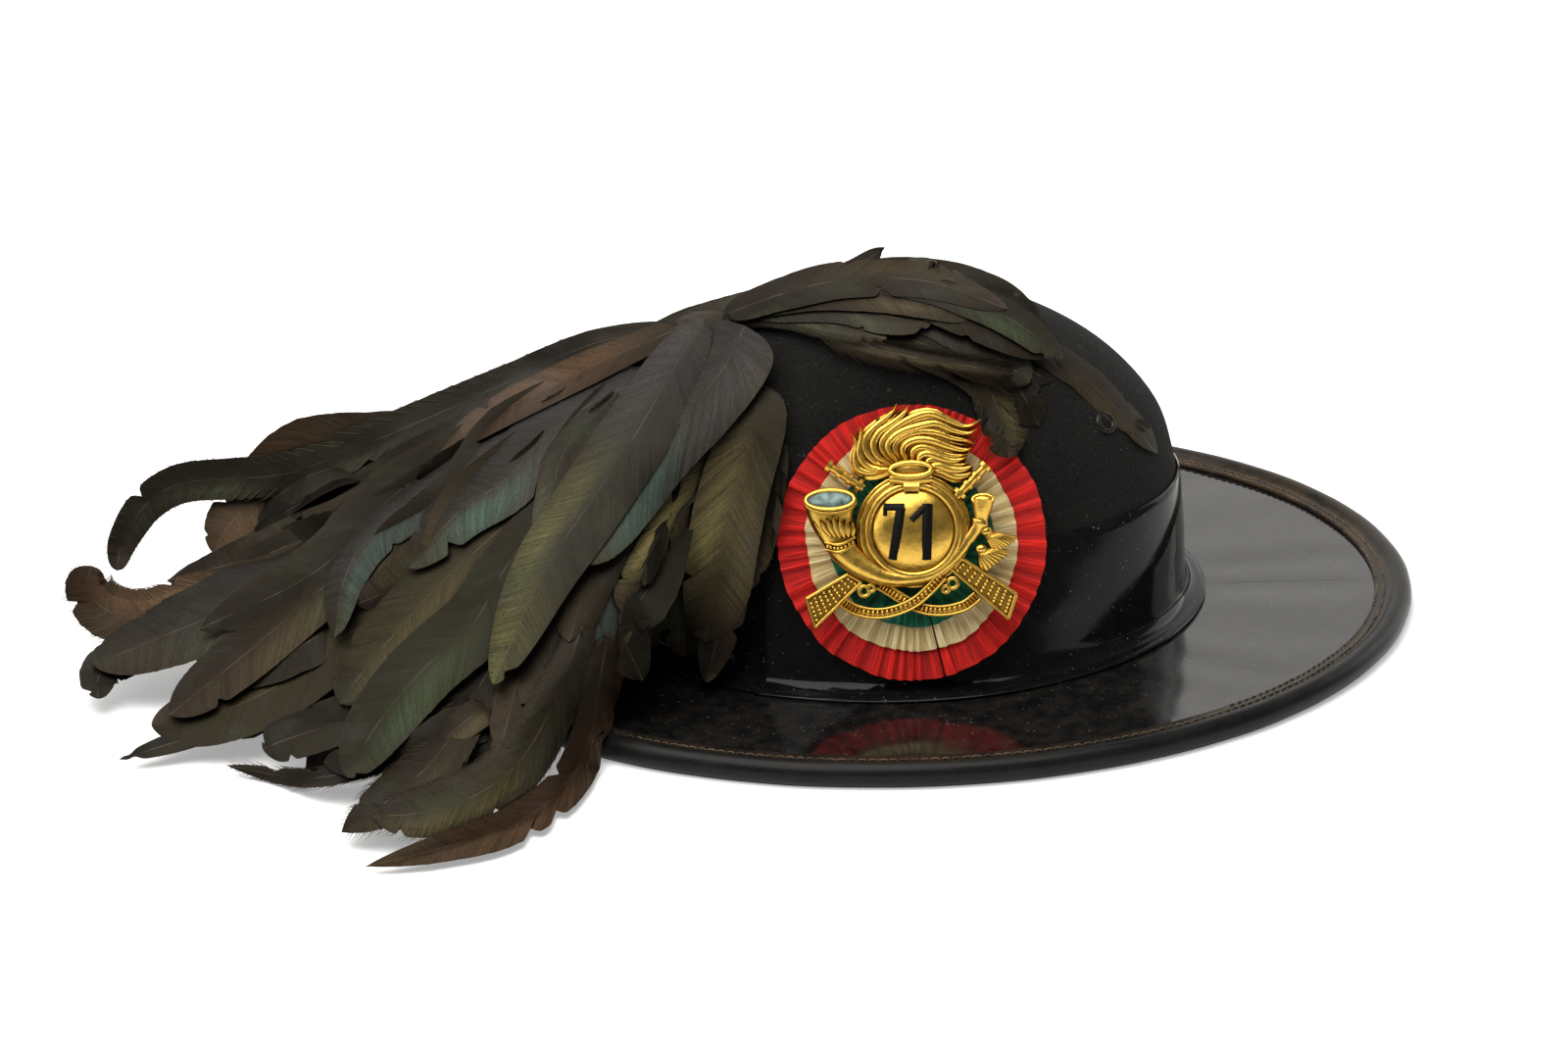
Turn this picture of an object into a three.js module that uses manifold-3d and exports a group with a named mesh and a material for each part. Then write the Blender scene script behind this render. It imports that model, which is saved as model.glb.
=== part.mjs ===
// A plumed rifleman's hat: a black felt crown, a patent-leather band and brim, a pleated ribbon
// cockade with a brass badge, and a plume of cock feathers that falls to the floor.
// Millimetres. +Z is up, +X is the wearer's front and -Y the wearer's right, where the cockade is.
// The origin is the centre of the head opening, on the surface that the rolled edge rests on.
import * as THREE from "three";
import { mergeVertices } from "three/addons/utils/BufferGeometryUtils.js";
import Module from "manifold-3d";

const wasm = await Module();
wasm.setup();

// Gaps between pieces that sit against each other
const SEAT_GAP = 0.3;

// Felt crown: outer surface, one row for each level
const FELT_WALL = 2.5;
const CROWN_SIDES = 40;
const DOME_LIFT_SHARE = 0.3;
const FACING_STEP = 1;
const CROWN_LEVELS = [
  { height: 3, halfLength: 97.8, halfWidth: 84.4 },
  { height: 28, halfLength: 97.4, halfWidth: 77 },
  { height: 42, halfLength: 96.6, halfWidth: 72.6 },
  { height: 55, halfLength: 95.4, halfWidth: 68 },
  { height: 73, halfLength: 90, halfWidth: 59.5 },
  { height: 91, halfLength: 76, halfWidth: 48.5 },
  { height: 105, halfLength: 56, halfWidth: 35.5 },
  { height: 115, halfLength: 32, halfWidth: 20 },
  { height: 120, halfLength: 0, halfWidth: 0 },
];

// Vent eyelets, one on each side towards the front
const VENT_HEIGHT = 79;
const VENT_FORWARD = 71;
const VENT = { ring: 4.2, bore: 2.1, barrel: 2.9, hole: 3.2, rim: 1.2, chamfer: 0.4, reach: 3.6 };
const VENT_DRILL_LENGTH = 20;
const VENT_SIDES = 10;

// Patent-leather band with a foot turned out on to the brim
const BAND_WALL = 1.4;
const BAND_TOP = 50.5;
const BAND_FOOT_WIDTH = 6.5;
const BAND_FOOT_BEND = 4.5;
const BAND_BEND_SHARE = 0.3;
const BAND_FOOT_CHAMFER = 0.4;

// Brim plate and its rolled edge
const BRIM_HALF_LENGTH = 170;
const BRIM_HALF_WIDTH = 142;
const BRIM_FORWARD = 3;
const BRIM_BOTTOM = 2.8;
const BRIM_TOP = 5.4;
const BRIM_SIDES = 48;
const EDGE_RADIUS = 4.2;
const EDGE_FLAT = 1.6;
const EDGE_BEAD_DEGREES = [140, 80, 25, -40];
const EDGE_STRIP_REACH = 8.5;
const EDGE_STRIP_WALL = 1.1;
const EDGE_GRIP = 2.2;

// Pleated cockade, leaning back with the crown's side
const COCKADE_LEAN = THREE.MathUtils.degToRad(21);
const COCKADE_CENTRE = { forward: 5, side: 70, height: 55.5 };
const COCKADE_BEND_RADIUS = 300;
const PLEAT_COUNT = 27;
const PLEAT_DEPTH = 1.5;
const RIBBON_WALL = 1;
const RIBBON_RINGS = [
  { name: "cockade_red", outer: 45, inner: 13, colour: 0xb81d22 },
  { name: "cockade_white", outer: 35, inner: 11, colour: 0xeee3c8 },
  { name: "cockade_green", outer: 27, inner: 9, colour: 0x12533a },
];

// Brass badge, in millimetres right of and above the cockade's centre; a lift is measured from its back
const BADGE_BACK = 5.1;
const BADGE_FRONT = new THREE.Vector3(0, 0, 1);
const BOSS = { right: -0.8, up: 5.2, radius: 13.4, dome: 7.4, sides: 16, rows: 6 };
const COIL = { radius: 15.9, tube: 2.3, lift: 2.2, sides: 18, tubeSides: 5 };
const NECK = { up: 24.4, halfWidth: 7, halfHeight: 3.4, dome: 4.2, lift: 1, sides: 8, rows: 5 };
const HORN_ROUTE = [
  { right: -27.2, up: 14.5, radius: 8.2 },
  { right: -26.3, up: 4.5, radius: 6.6 },
  { right: -22, up: -5, radius: 5.6 },
  { right: -12, up: -11, radius: 4.2 },
  { right: 0, up: -13, radius: 3 },
  { right: 10, up: -10, radius: 2.2 },
];
const HORN = { lift: 3.2, flatness: 0.75, mouthDepth: 2.4, mouthWall: 1.3, steps: 6, sides: 8 };
const FLAMES = [
  { baseRight: -4, midRight: -14, midUp: 29, tipRight: -20.5, tipUp: 36, width: 5.5 },
  { baseRight: -3, midRight: -13, midUp: 36, tipRight: -12, tipUp: 42.5, width: 6.5 },
  { baseRight: -1.5, midRight: -6, midUp: 38, tipRight: -5.5, tipUp: 46, width: 6.5 },
  { baseRight: 0, midRight: 3, midUp: 36, tipRight: 9, tipUp: 43, width: 7 },
  { baseRight: 1, midRight: 9, midUp: 33, tipRight: 22, tipUp: 40, width: 7 },
  { baseRight: 3, midRight: 11, midUp: 28, tipRight: 20.5, tipUp: 33, width: 6.5 },
  { baseRight: 4, midRight: 10, midUp: 24, tipRight: 18, tipUp: 26, width: 5 },
];
const FLAME = { footUp: 22.6, lift: 1.4, thickness: 4.5, tipThickness: 1.35 };
const FLAME_LEAST_WIDTH = 0.15;
const FLAME_FOOT_SHARE = 0.25;
const CARBINES = [
  { buttRight: -33.5, buttUp: -22.5, muzzleRight: 23.5, muzzleUp: 26 },
  { buttRight: 31.4, buttUp: -20, muzzleRight: -28.6, muzzleUp: 26 },
];
const CARBINE = { butt: 9, wrist: 3.6, barrel: 2.6, thickness: 3, lift: 0.8, wristShare: 0.25 };
const CORDS = [
  { startRight: -23.5, startUp: -16, lowRight: -8.5, lowUp: -22.5, endRight: 12, endUp: -9 },
  { startRight: 21, startUp: -14, lowRight: 9, lowUp: -21.5, endRight: -13, endUp: -11.5 },
];
const CORD = { width: 2.8, lift: 1, steps: 7 };
const MOUTHPIECE = { fromRight: 14, fromUp: -4, toRight: 22, toUp: 14, from: 2.6, to: 5.6 };
const TASSELS = { fromRight: 16.5, fromUp: 4.5, toRight: 30, toUp: -1.5, from: 3, to: 8 };
const BAR_END = { thickness: 3.2, lift: 1.2, steps: 2, sides: 6 };
const BAR_STEPS = 4;
const BAR_SIDES = 4;
const BACK_CUT = { size: 160, depth: 20 };

// Plume: a bound head on the crown and one row for each lock of feathers. Every lock runs from the
// head through a middle point to its tip; back is towards -X, side towards -Y.
const PLUME_HEAD = { back: 60, side: 2, height: 106, halfLength: 15, halfWidth: 11, halfHeight: 6 };
const PLUME_HEAD_SIDES = 12;
const PLUME_HEAD_ROWS = 8;
const LOCK_STEPS = 4;
const LOCK_SIDES = 4;
const LOCK_START = 0.1;
const LOCK_THICKNESS = 6;
const LOCK_THINNING = 0.6;
const LOCK_LEAST_WIDTH = 0.2;
const LOCK_SWELL = { start: 0.16, length: 0.82 };
const LOCK_FULL_SIDE = 110;
const LOCK_SIDE_TILT = 0.6;
const LOCK_BACK_TILT = 0.2;
const LOCK_COLUMNS = [
  "midBack", "midSide", "midHeight", "tipBack", "tipSide", "tipHeight", "width",
];
const LOCKS = [
  [168, -8, 66, 264, 4, 22, 30],
  [158, -30, 60, 232, -20, 14, 36],
  [170, 24, 52, 272, 36, 14, 34],
  [182, 52, 38, 267, 80, 8, 32],
  [156, 44, 64, 250, 100, 9, 36],
  [162, 70, 45, 238, 118, 8, 34],
  [122, 45, 86, 190, 92, 34, 38],
  [128, 70, 72, 186, 110, 22, 38],
  [130, 82, 53, 184, 136, 9, 36],
  [92, 61, 91, 135, 105, 30, 38],
  [54, 42, 94, 100, 80, 52, 40],
  [46, 66, 70, 62, 92, 20, 34],
  [74, 64, 87, 96, 92, 41, 34],
  [90, 97, 62, 104, 118, 20, 32],
  [112, 101, 54, 136, 138, 12, 32],
  [98, 121, 38, 170, 203, 7, 26],
  [118, 123, 38, 180, 180, 7, 28],
  [150, 106, 32, 218, 132, 8, 32],
  [190, 92, 27, 257, 128, 7, 20],
  [146, -24, 64, 222, -56, 14, 36],
  [126, -42, 68, 184, -88, 18, 38],
  [92, -54, 76, 124, -104, 24, 38],
  [10, -8, 122, -46, -4, 114, 34],
  [26, 14, 119, -54, 24, 106, 32],
  [-18, 31, 119, -84, 33, 71, 13],
  [16, 37, 111, -38, 44, 102, 26],
  [-8, 40, 110, -37, 57, 80, 22],
  [10, -27, 117, -36, -36, 103, 32],
].map((row) => Object.fromEntries(LOCK_COLUMNS.map((column, index) => [column, row[index]])));
const FLOOR_CLEARANCE = 0.6;
const PLUME_CLEARANCE = 0.6;
const FOOT_CLEARANCE = 1.6;
const COCKADE_ROOM = { depth: 40, sides: 24 };
const VENT_ROOM = { sides: 8, rows: 6 };
const FLOOR_ROOM = { size: 1200, depth: 60 };
const BRIM_ROOM_BOTTOM = -5;

// Materials
const felt = new THREE.MeshStandardMaterial({ color: 0x101011, roughness: 0.95 });
const patentLeather = new THREE.MeshStandardMaterial({ color: 0x08080a, roughness: 0.15 });
const edgeLeather = new THREE.MeshStandardMaterial({ color: 0x0d0d0e, roughness: 0.4 });
const blackedMetal = new THREE.MeshStandardMaterial({ color: 0x141414, roughness: 0.4, metalness: 0.6 });
const brass = new THREE.MeshStandardMaterial({ color: 0xc9962e, roughness: 0.3, metalness: 1 });
const feather = new THREE.MeshStandardMaterial({ color: 0x211d18, roughness: 0.5 });

// A closed solid from a geometry, with shared vertices merged and flat triangles dropped
function solidOf(geometry) {
  const bare = geometry.clone();
  bare.deleteAttribute("normal");
  bare.deleteAttribute("uv");
  const merged = mergeVertices(bare, 1e-4);
  const index = merged.index.array;
  const triangles = [];
  for (let i = 0; i < index.length; i += 3) {
    const [a, b, c] = index.slice(i, i + 3);
    if (a !== b && b !== c && c !== a) triangles.push(a, b, c);
  }
  return new wasm.Manifold(
    new wasm.Mesh({
      numProp: 3,
      vertProperties: new Float32Array(merged.attributes.position.array),
      triVerts: new Uint32Array(triangles),
    }),
  );
}

// The geometry of a solid
function geometryOf(solid) {
  const { vertProperties, triVerts } = solid.getMesh();
  const geometry = new THREE.BufferGeometry();
  geometry.setAttribute("position", new THREE.Float32BufferAttribute(vertProperties, 3));
  geometry.setIndex(new THREE.BufferAttribute(triVerts, 1));
  geometry.computeVertexNormals();
  return geometry;
}

// A named mesh of a solid
function piece(name, solid, material) {
  const mesh = new THREE.Mesh(geometryOf(solid), material);
  mesh.name = name;
  return mesh;
}

// An oval turning: each row of the profile is an ellipse, so length and width can change apart
function ovalTurning(rows, sides) {
  let area = 0;
  rows.forEach((row, index) => {
    const next = rows[(index + 1) % rows.length];
    area += row.halfLength * next.height - next.halfLength * row.height;
  });
  const ordered = area > 0 ? rows : [...rows].reverse();
  const profile = ordered.map((row) => new THREE.Vector2(row.halfLength, row.height));
  const closes = ordered[0].halfLength > 0;
  if (closes) profile.push(profile[0].clone());
  const turning = new THREE.LatheGeometry(profile, sides);
  const position = turning.attributes.position;
  for (let i = 0; i < position.count; i += 1) {
    const row = ordered[(i % profile.length) % ordered.length];
    const angle = (-2 * Math.PI * Math.floor(i / profile.length)) / sides;
    const x = (row.forward ?? 0) + row.halfLength * Math.sin(-angle);
    position.setXYZ(i, x, -row.halfWidth * Math.cos(angle), row.height);
  }
  return solidOf(turning);
}

// The crown's outer section at a height, grown outwards by an offset
function crownSection(height, offset = 0) {
  const last = CROWN_LEVELS.length - 1;
  let upper = CROWN_LEVELS.findIndex((level) => level.height >= height);
  if (upper < 1) upper = upper < 0 ? last : 1;
  const low = CROWN_LEVELS[upper - 1];
  const high = CROWN_LEVELS[upper];
  const share = (height - low.height) / (high.height - low.height);
  return {
    height,
    halfLength: THREE.MathUtils.lerp(low.halfLength, high.halfLength, share) + offset,
    halfWidth: THREE.MathUtils.lerp(low.halfWidth, high.halfWidth, share) + offset,
  };
}

// A solid dome of the crown's form, grown by an offset and reaching down to a foot height
function crownDome(offset, foot) {
  const walls = CROWN_LEVELS.slice(0, -1).map((level) => ({
    height: level.height + Math.max(0, offset) * DOME_LIFT_SHARE,
    halfLength: level.halfLength + offset,
    halfWidth: level.halfWidth + offset,
  }));
  const top = CROWN_LEVELS.at(-1).height + offset;
  const bottom = { ...walls[0], height: foot };
  return ovalTurning(
    [
      { height: foot, halfLength: 0, halfWidth: 0 },
      bottom,
      ...walls.slice(1),
      { height: top, halfLength: 0, halfWidth: 0 },
    ],
    CROWN_SIDES,
  );
}

// A point on the crown's outer surface and the direction that the surface faces there
function crownPoint(forward, height, sideSign) {
  const section = crownSection(height);
  const above = crownSection(height + FACING_STEP);
  const across = Math.sqrt(1 - (forward / section.halfLength) ** 2);
  const point = new THREE.Vector3(forward, sideSign * section.halfWidth * across, height);
  const acrossAbove = Math.sqrt(Math.max(0, 1 - (forward / above.halfLength) ** 2));
  const rise = new THREE.Vector3(0, sideSign * (above.halfWidth * acrossAbove) - point.y, FACING_STEP);
  const along = new THREE.Vector3(
    -point.y / section.halfWidth / section.halfWidth,
    forward / section.halfLength / section.halfLength,
    0,
  );
  const facing = new THREE.Vector3().crossVectors(along, rise).normalize();
  if (facing.y * sideSign < 0) facing.negate();
  return { point, facing };
}

// A tapering bar along a curve: sizeAt gives its width across and its thickness along the facing
function taperedBar(curve, steps, sides, sizeAt, facing) {
  const bar = new THREE.CylinderGeometry(1, 1, 1, sides, steps);
  const position = bar.attributes.position;
  const corner = new THREE.Vector3();
  for (let i = 0; i < position.count; i += 1) {
    corner.fromBufferAttribute(position, i);
    const along = corner.y + 0.5;
    const tangent = curve.getTangent(along);
    const normal = facing.clone().addScaledVector(tangent, -facing.dot(tangent)).normalize();
    const across = new THREE.Vector3().crossVectors(tangent, normal);
    const { width, thickness } = sizeAt(along);
    const place = curve.getPoint(along);
    place.addScaledVector(across, (corner.x * width) / 2);
    place.addScaledVector(normal, (corner.z * thickness) / 2);
    position.setXYZ(i, place.x, place.y, place.z);
  }
  return solidOf(bar);
}

// The felt crown, hollow and open below, with a hole for each vent
function makeCrown(vents) {
  const foot = CROWN_LEVELS[0].height;
  const inside = crownDome(-FELT_WALL, foot - FELT_WALL);
  let crown = crownDome(0, foot).subtract(inside);
  for (const vent of vents) {
    const drill = new THREE.CylinderGeometry(VENT.hole, VENT.hole, VENT_DRILL_LENGTH, VENT_SIDES);
    drill.applyQuaternion(turnedTo(vent.facing));
    drill.translate(...vent.point.toArray());
    crown = crown.subtract(solidOf(drill));
  }
  return crown;
}

// The turn that brings +Y to a direction
function turnedTo(direction) {
  return new THREE.Quaternion().setFromUnitVectors(new THREE.Vector3(0, 1, 0), direction);
}

// One vent eyelet: a rim on the felt and a barrel through it
function makeVent(vent) {
  const profile = [
    [VENT.bore, -VENT.reach],
    [VENT.barrel, -VENT.reach],
    [VENT.barrel, SEAT_GAP],
    [VENT.ring, SEAT_GAP],
    [VENT.ring - VENT.chamfer, VENT.rim],
    [VENT.bore, VENT.rim],
    [VENT.bore, -VENT.reach],
  ].map(([radius, height]) => new THREE.Vector2(radius, height));
  const ring = new THREE.LatheGeometry(profile, VENT_SIDES);
  ring.applyQuaternion(turnedTo(vent.facing));
  ring.translate(...vent.point.toArray());
  return solidOf(ring);
}

// The band: an outer and an inner face that follow the crown, joined by the turned-out foot
function makeBand() {
  const inner = SEAT_GAP;
  const outer = inner + BAND_WALL;
  const footBottom = BRIM_TOP + SEAT_GAP;
  const footTop = footBottom + BAND_WALL;
  const bendTop = footTop + BAND_FOOT_BEND;
  const bendStep = BAND_FOOT_BEND * BAND_BEND_SHARE;
  const levels = CROWN_LEVELS.map((level) => level.height).filter(
    (height) => height > bendTop && height < BAND_TOP,
  );
  const rising = [...levels, BAND_TOP];
  const rows = [...rising].reverse().map((height) => crownSection(height, outer));
  rows.push(crownSection(bendTop, outer));
  rows.push(crownSection(footTop + bendStep, outer + bendStep));
  rows.push(crownSection(footTop, outer + BAND_FOOT_BEND));
  rows.push(crownSection(footTop - BAND_FOOT_CHAMFER, outer + BAND_FOOT_WIDTH));
  rows.push(crownSection(footBottom, outer + BAND_FOOT_WIDTH));
  rows.push(...[footBottom, ...rising].map((height) => crownSection(height, inner)));
  return ovalTurning(rows, CROWN_SIDES);
}

// The brim plate, an oval with the head opening in it
function makeBrim() {
  const opening = crownSection(BRIM_BOTTOM, SEAT_GAP);
  const outer = {
    forward: BRIM_FORWARD,
    halfLength: BRIM_HALF_LENGTH - EDGE_GRIP - SEAT_GAP,
    halfWidth: BRIM_HALF_WIDTH - EDGE_GRIP - SEAT_GAP,
  };
  return ovalTurning(
    [
      { ...opening, height: BRIM_BOTTOM },
      { ...outer, height: BRIM_BOTTOM },
      { ...outer, height: BRIM_TOP },
      { ...opening, height: BRIM_TOP },
    ],
    BRIM_SIDES,
  );
}

// The rolled edge: a round bead with a flat foot, and a strip above and below that grips the brim
function makeEdge() {
  const gripTop = BRIM_TOP + SEAT_GAP;
  const gripBottom = BRIM_BOTTOM - SEAT_GAP;
  const bead = EDGE_BEAD_DEGREES.map((degrees) => {
    const angle = THREE.MathUtils.degToRad(degrees);
    return [EDGE_RADIUS * Math.cos(angle), EDGE_RADIUS * (1 + Math.sin(angle))];
  });
  const profile = [
    [-EDGE_STRIP_REACH, gripTop],
    [-EDGE_STRIP_REACH, gripTop + EDGE_STRIP_WALL],
    ...bead,
    [EDGE_FLAT, 0],
    [-EDGE_FLAT, 0],
    [-EDGE_RADIUS, gripBottom - EDGE_STRIP_WALL],
    [-EDGE_STRIP_REACH, gripBottom - EDGE_STRIP_WALL],
    [-EDGE_STRIP_REACH, gripBottom],
    [-EDGE_GRIP, gripBottom],
    [-EDGE_GRIP, gripTop],
  ];
  const rows = profile.map(([outward, height]) => ({
    height,
    forward: BRIM_FORWARD,
    halfLength: BRIM_HALF_LENGTH + outward,
    halfWidth: BRIM_HALF_WIDTH + outward,
  }));
  return ovalTurning(rows, BRIM_SIDES);
}

// One pleated ribbon ring, facing +Z in the cockade's own frame; layer counts from the back
function makeRibbonRing(ring, layer) {
  const back = SEAT_GAP + layer * (RIBBON_WALL + SEAT_GAP);
  const front = back + RIBBON_WALL;
  const profile = [
    [ring.inner, back],
    [ring.outer, back],
    [ring.outer, front],
    [ring.inner, front],
    [ring.inner, back],
  ].map(([radius, height]) => new THREE.Vector2(radius, height));
  const lathe = new THREE.LatheGeometry(profile, PLEAT_COUNT * 2);
  lathe.rotateX(Math.PI / 2);
  const position = lathe.attributes.position;
  const widest = RIBBON_RINGS[0].outer;
  for (let i = 0; i < position.count; i += 1) {
    const radius = Math.hypot(position.getX(i), position.getY(i));
    const ridge = Math.floor(i / profile.length) % 2;
    const pleat = ((PLEAT_DEPTH * radius) / widest) * ridge;
    const bend = position.getX(i) ** 2 / (2 * COCKADE_BEND_RADIUS);
    position.setZ(i, position.getZ(i) + pleat - bend);
  }
  return solidOf(lathe);
}

// A curve in the badge's plane through right/up points, at a height above the cockade's back
function badgeCurve(points, lift) {
  return new THREE.CatmullRomCurve3(
    points.map(([right, up]) => new THREE.Vector3(right, up, BADGE_BACK + lift)),
  );
}

// A domed form of the badge, from a ball stretched to half sizes
function badgeDome(middle, half, sides, rows) {
  const dome = new THREE.SphereGeometry(1, sides, rows);
  dome.rotateX(Math.PI / 2);
  dome.scale(half.right, half.up, half.out);
  dome.translate(middle.right, middle.up, BADGE_BACK + middle.lift);
  return solidOf(dome);
}

// The horn: a flattened tapering tube with a hollow mouth
function makeHorn() {
  const curve = badgeCurve(HORN_ROUTE.map((stop) => [stop.right, stop.up]), HORN.lift);
  const size = (along) => {
    const place = along * (HORN_ROUTE.length - 1);
    const stop = Math.min(Math.floor(place), HORN_ROUTE.length - 2);
    const [from, to] = [HORN_ROUTE[stop].radius, HORN_ROUTE[stop + 1].radius];
    const width = 2 * THREE.MathUtils.lerp(from, to, place - stop);
    return { width, thickness: width * HORN.flatness };
  };
  const mouth = HORN_ROUTE[0];
  const hollow = new THREE.CylinderGeometry(1, 1, 2 * HORN.mouthDepth, HORN.sides);
  const hollowRadius = mouth.radius - HORN.mouthWall;
  hollow.scale(hollowRadius, 1, hollowRadius * HORN.flatness);
  hollow.translate(mouth.right, mouth.up, BADGE_BACK + HORN.lift);
  return taperedBar(curve, HORN.steps, HORN.sides, size, BADGE_FRONT).subtract(solidOf(hollow));
}

// One flame: a bar that bends over and thins to a point
function makeFlame(flame) {
  const curve = badgeCurve(
    [
      [flame.baseRight, FLAME.footUp],
      [flame.midRight, flame.midUp],
      [flame.tipRight, flame.tipUp],
    ],
    FLAME.lift,
  );
  const size = (along) => {
    const swell = Math.sin(Math.PI * THREE.MathUtils.lerp(FLAME_FOOT_SHARE, 1, along));
    return {
      width: flame.width * THREE.MathUtils.lerp(FLAME_LEAST_WIDTH, 1, swell),
      thickness: THREE.MathUtils.lerp(FLAME.thickness, FLAME.tipThickness, along),
    };
  };
  return taperedBar(curve, BAR_STEPS, BAR_SIDES, size, BADGE_FRONT);
}

// One carbine: a flared butt, a wrist and a straight barrel
function makeCarbine(gun) {
  const middle = [(gun.buttRight + gun.muzzleRight) / 2, (gun.buttUp + gun.muzzleUp) / 2];
  const ends = [[gun.buttRight, gun.buttUp], middle, [gun.muzzleRight, gun.muzzleUp]];
  const size = (along) => {
    const flare = THREE.MathUtils.lerp(CARBINE.butt, CARBINE.wrist, along / CARBINE.wristShare);
    const width = along > CARBINE.wristShare ? CARBINE.barrel : flare;
    return { width, thickness: CARBINE.thickness };
  };
  return taperedBar(badgeCurve(ends, CARBINE.lift), BAR_STEPS, BAR_SIDES, size, BADGE_FRONT);
}

// One cord garland
function makeCord(cord) {
  const stops = [
    [cord.startRight, cord.startUp],
    [cord.lowRight, cord.lowUp],
    [cord.endRight, cord.endUp],
  ];
  const size = () => ({ width: CORD.width, thickness: CORD.width });
  return taperedBar(badgeCurve(stops, CORD.lift), CORD.steps, BAR_SIDES, size, BADGE_FRONT);
}

// The horn's mouthpiece, or the tassels beside it: a short bar that widens
function makeBarEnd(end) {
  const curve = badgeCurve([[end.fromRight, end.fromUp], [end.toRight, end.toUp]], BAR_END.lift);
  const size = (along) => ({
    width: THREE.MathUtils.lerp(end.from, end.to, along),
    thickness: BAR_END.thickness,
  });
  return taperedBar(curve, BAR_END.steps, BAR_END.sides, size, BADGE_FRONT);
}

// The brass badge: relief forms fused into one casting with a flat back
function makeBadge() {
  const coil = new THREE.TorusGeometry(COIL.radius, COIL.tube, COIL.tubeSides, COIL.sides);
  coil.translate(BOSS.right, BOSS.up, BADGE_BACK + COIL.lift);
  const forms = [
    badgeDome(
      { right: BOSS.right, up: BOSS.up, lift: 0 },
      { right: BOSS.radius, up: BOSS.radius, out: BOSS.dome },
      BOSS.sides,
      BOSS.rows,
    ),
    solidOf(coil),
    badgeDome(
      { right: BOSS.right, up: NECK.up, lift: NECK.lift },
      { right: NECK.halfWidth, up: NECK.halfHeight, out: NECK.dome },
      NECK.sides,
      NECK.rows,
    ),
    makeHorn(),
    ...FLAMES.map(makeFlame),
    ...CARBINES.map(makeCarbine),
    ...CORDS.map(makeCord),
    ...[MOUTHPIECE, TASSELS].map(makeBarEnd),
  ];
  const casting = forms.reduce((whole, form) => whole.add(form));
  const behind = new THREE.BoxGeometry(BACK_CUT.size, BACK_CUT.size, BACK_CUT.depth);
  behind.translate(0, 0, BADGE_BACK - BACK_CUT.depth / 2);
  return casting.subtract(solidOf(behind));
}

// Size of a lock along its length: narrow at the head, full beyond the middle, pointed at the tip
function lockSize(width) {
  return (along) => {
    const swell = Math.sin(Math.PI * (LOCK_SWELL.start + LOCK_SWELL.length * along));
    return {
      width: width * THREE.MathUtils.lerp(LOCK_LEAST_WIDTH, 1, swell),
      thickness: LOCK_THICKNESS * (1 - LOCK_THINNING * along),
    };
  };
}

// The way a lock's broad side faces: up, and outwards on its own side of the plume
function lockFacing(lock) {
  const outward = THREE.MathUtils.clamp(lock.tipSide / LOCK_FULL_SIDE, -1, 1);
  return new THREE.Vector3(-LOCK_BACK_TILT, -LOCK_SIDE_TILT * outward, 1).normalize();
}

// The plume: all locks fused to the bound head, trimmed clear of the hat and of the floor
function makePlume(keepOuts) {
  const head = new THREE.SphereGeometry(1, PLUME_HEAD_SIDES, PLUME_HEAD_ROWS);
  head.scale(PLUME_HEAD.halfLength, PLUME_HEAD.halfWidth, PLUME_HEAD.halfHeight);
  const root = new THREE.Vector3(-PLUME_HEAD.back, -PLUME_HEAD.side, PLUME_HEAD.height);
  head.translate(...root.toArray());
  let plume = solidOf(head);
  for (const lock of LOCKS) {
    const middle = new THREE.Vector3(-lock.midBack, -lock.midSide, lock.midHeight);
    const curve = new THREE.CatmullRomCurve3([
      root.clone().lerp(middle, LOCK_START),
      middle,
      new THREE.Vector3(-lock.tipBack, -lock.tipSide, lock.tipHeight),
    ]);
    const size = lockSize(lock.width);
    plume = plume.add(taperedBar(curve, LOCK_STEPS, LOCK_SIDES, size, lockFacing(lock)));
  }
  for (const keepOut of keepOuts) plume = plume.subtract(keepOut);
  const bodies = plume.decompose();
  bodies.sort((a, b) => b.volume() - a.volume());
  return bodies[0];
}

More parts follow.
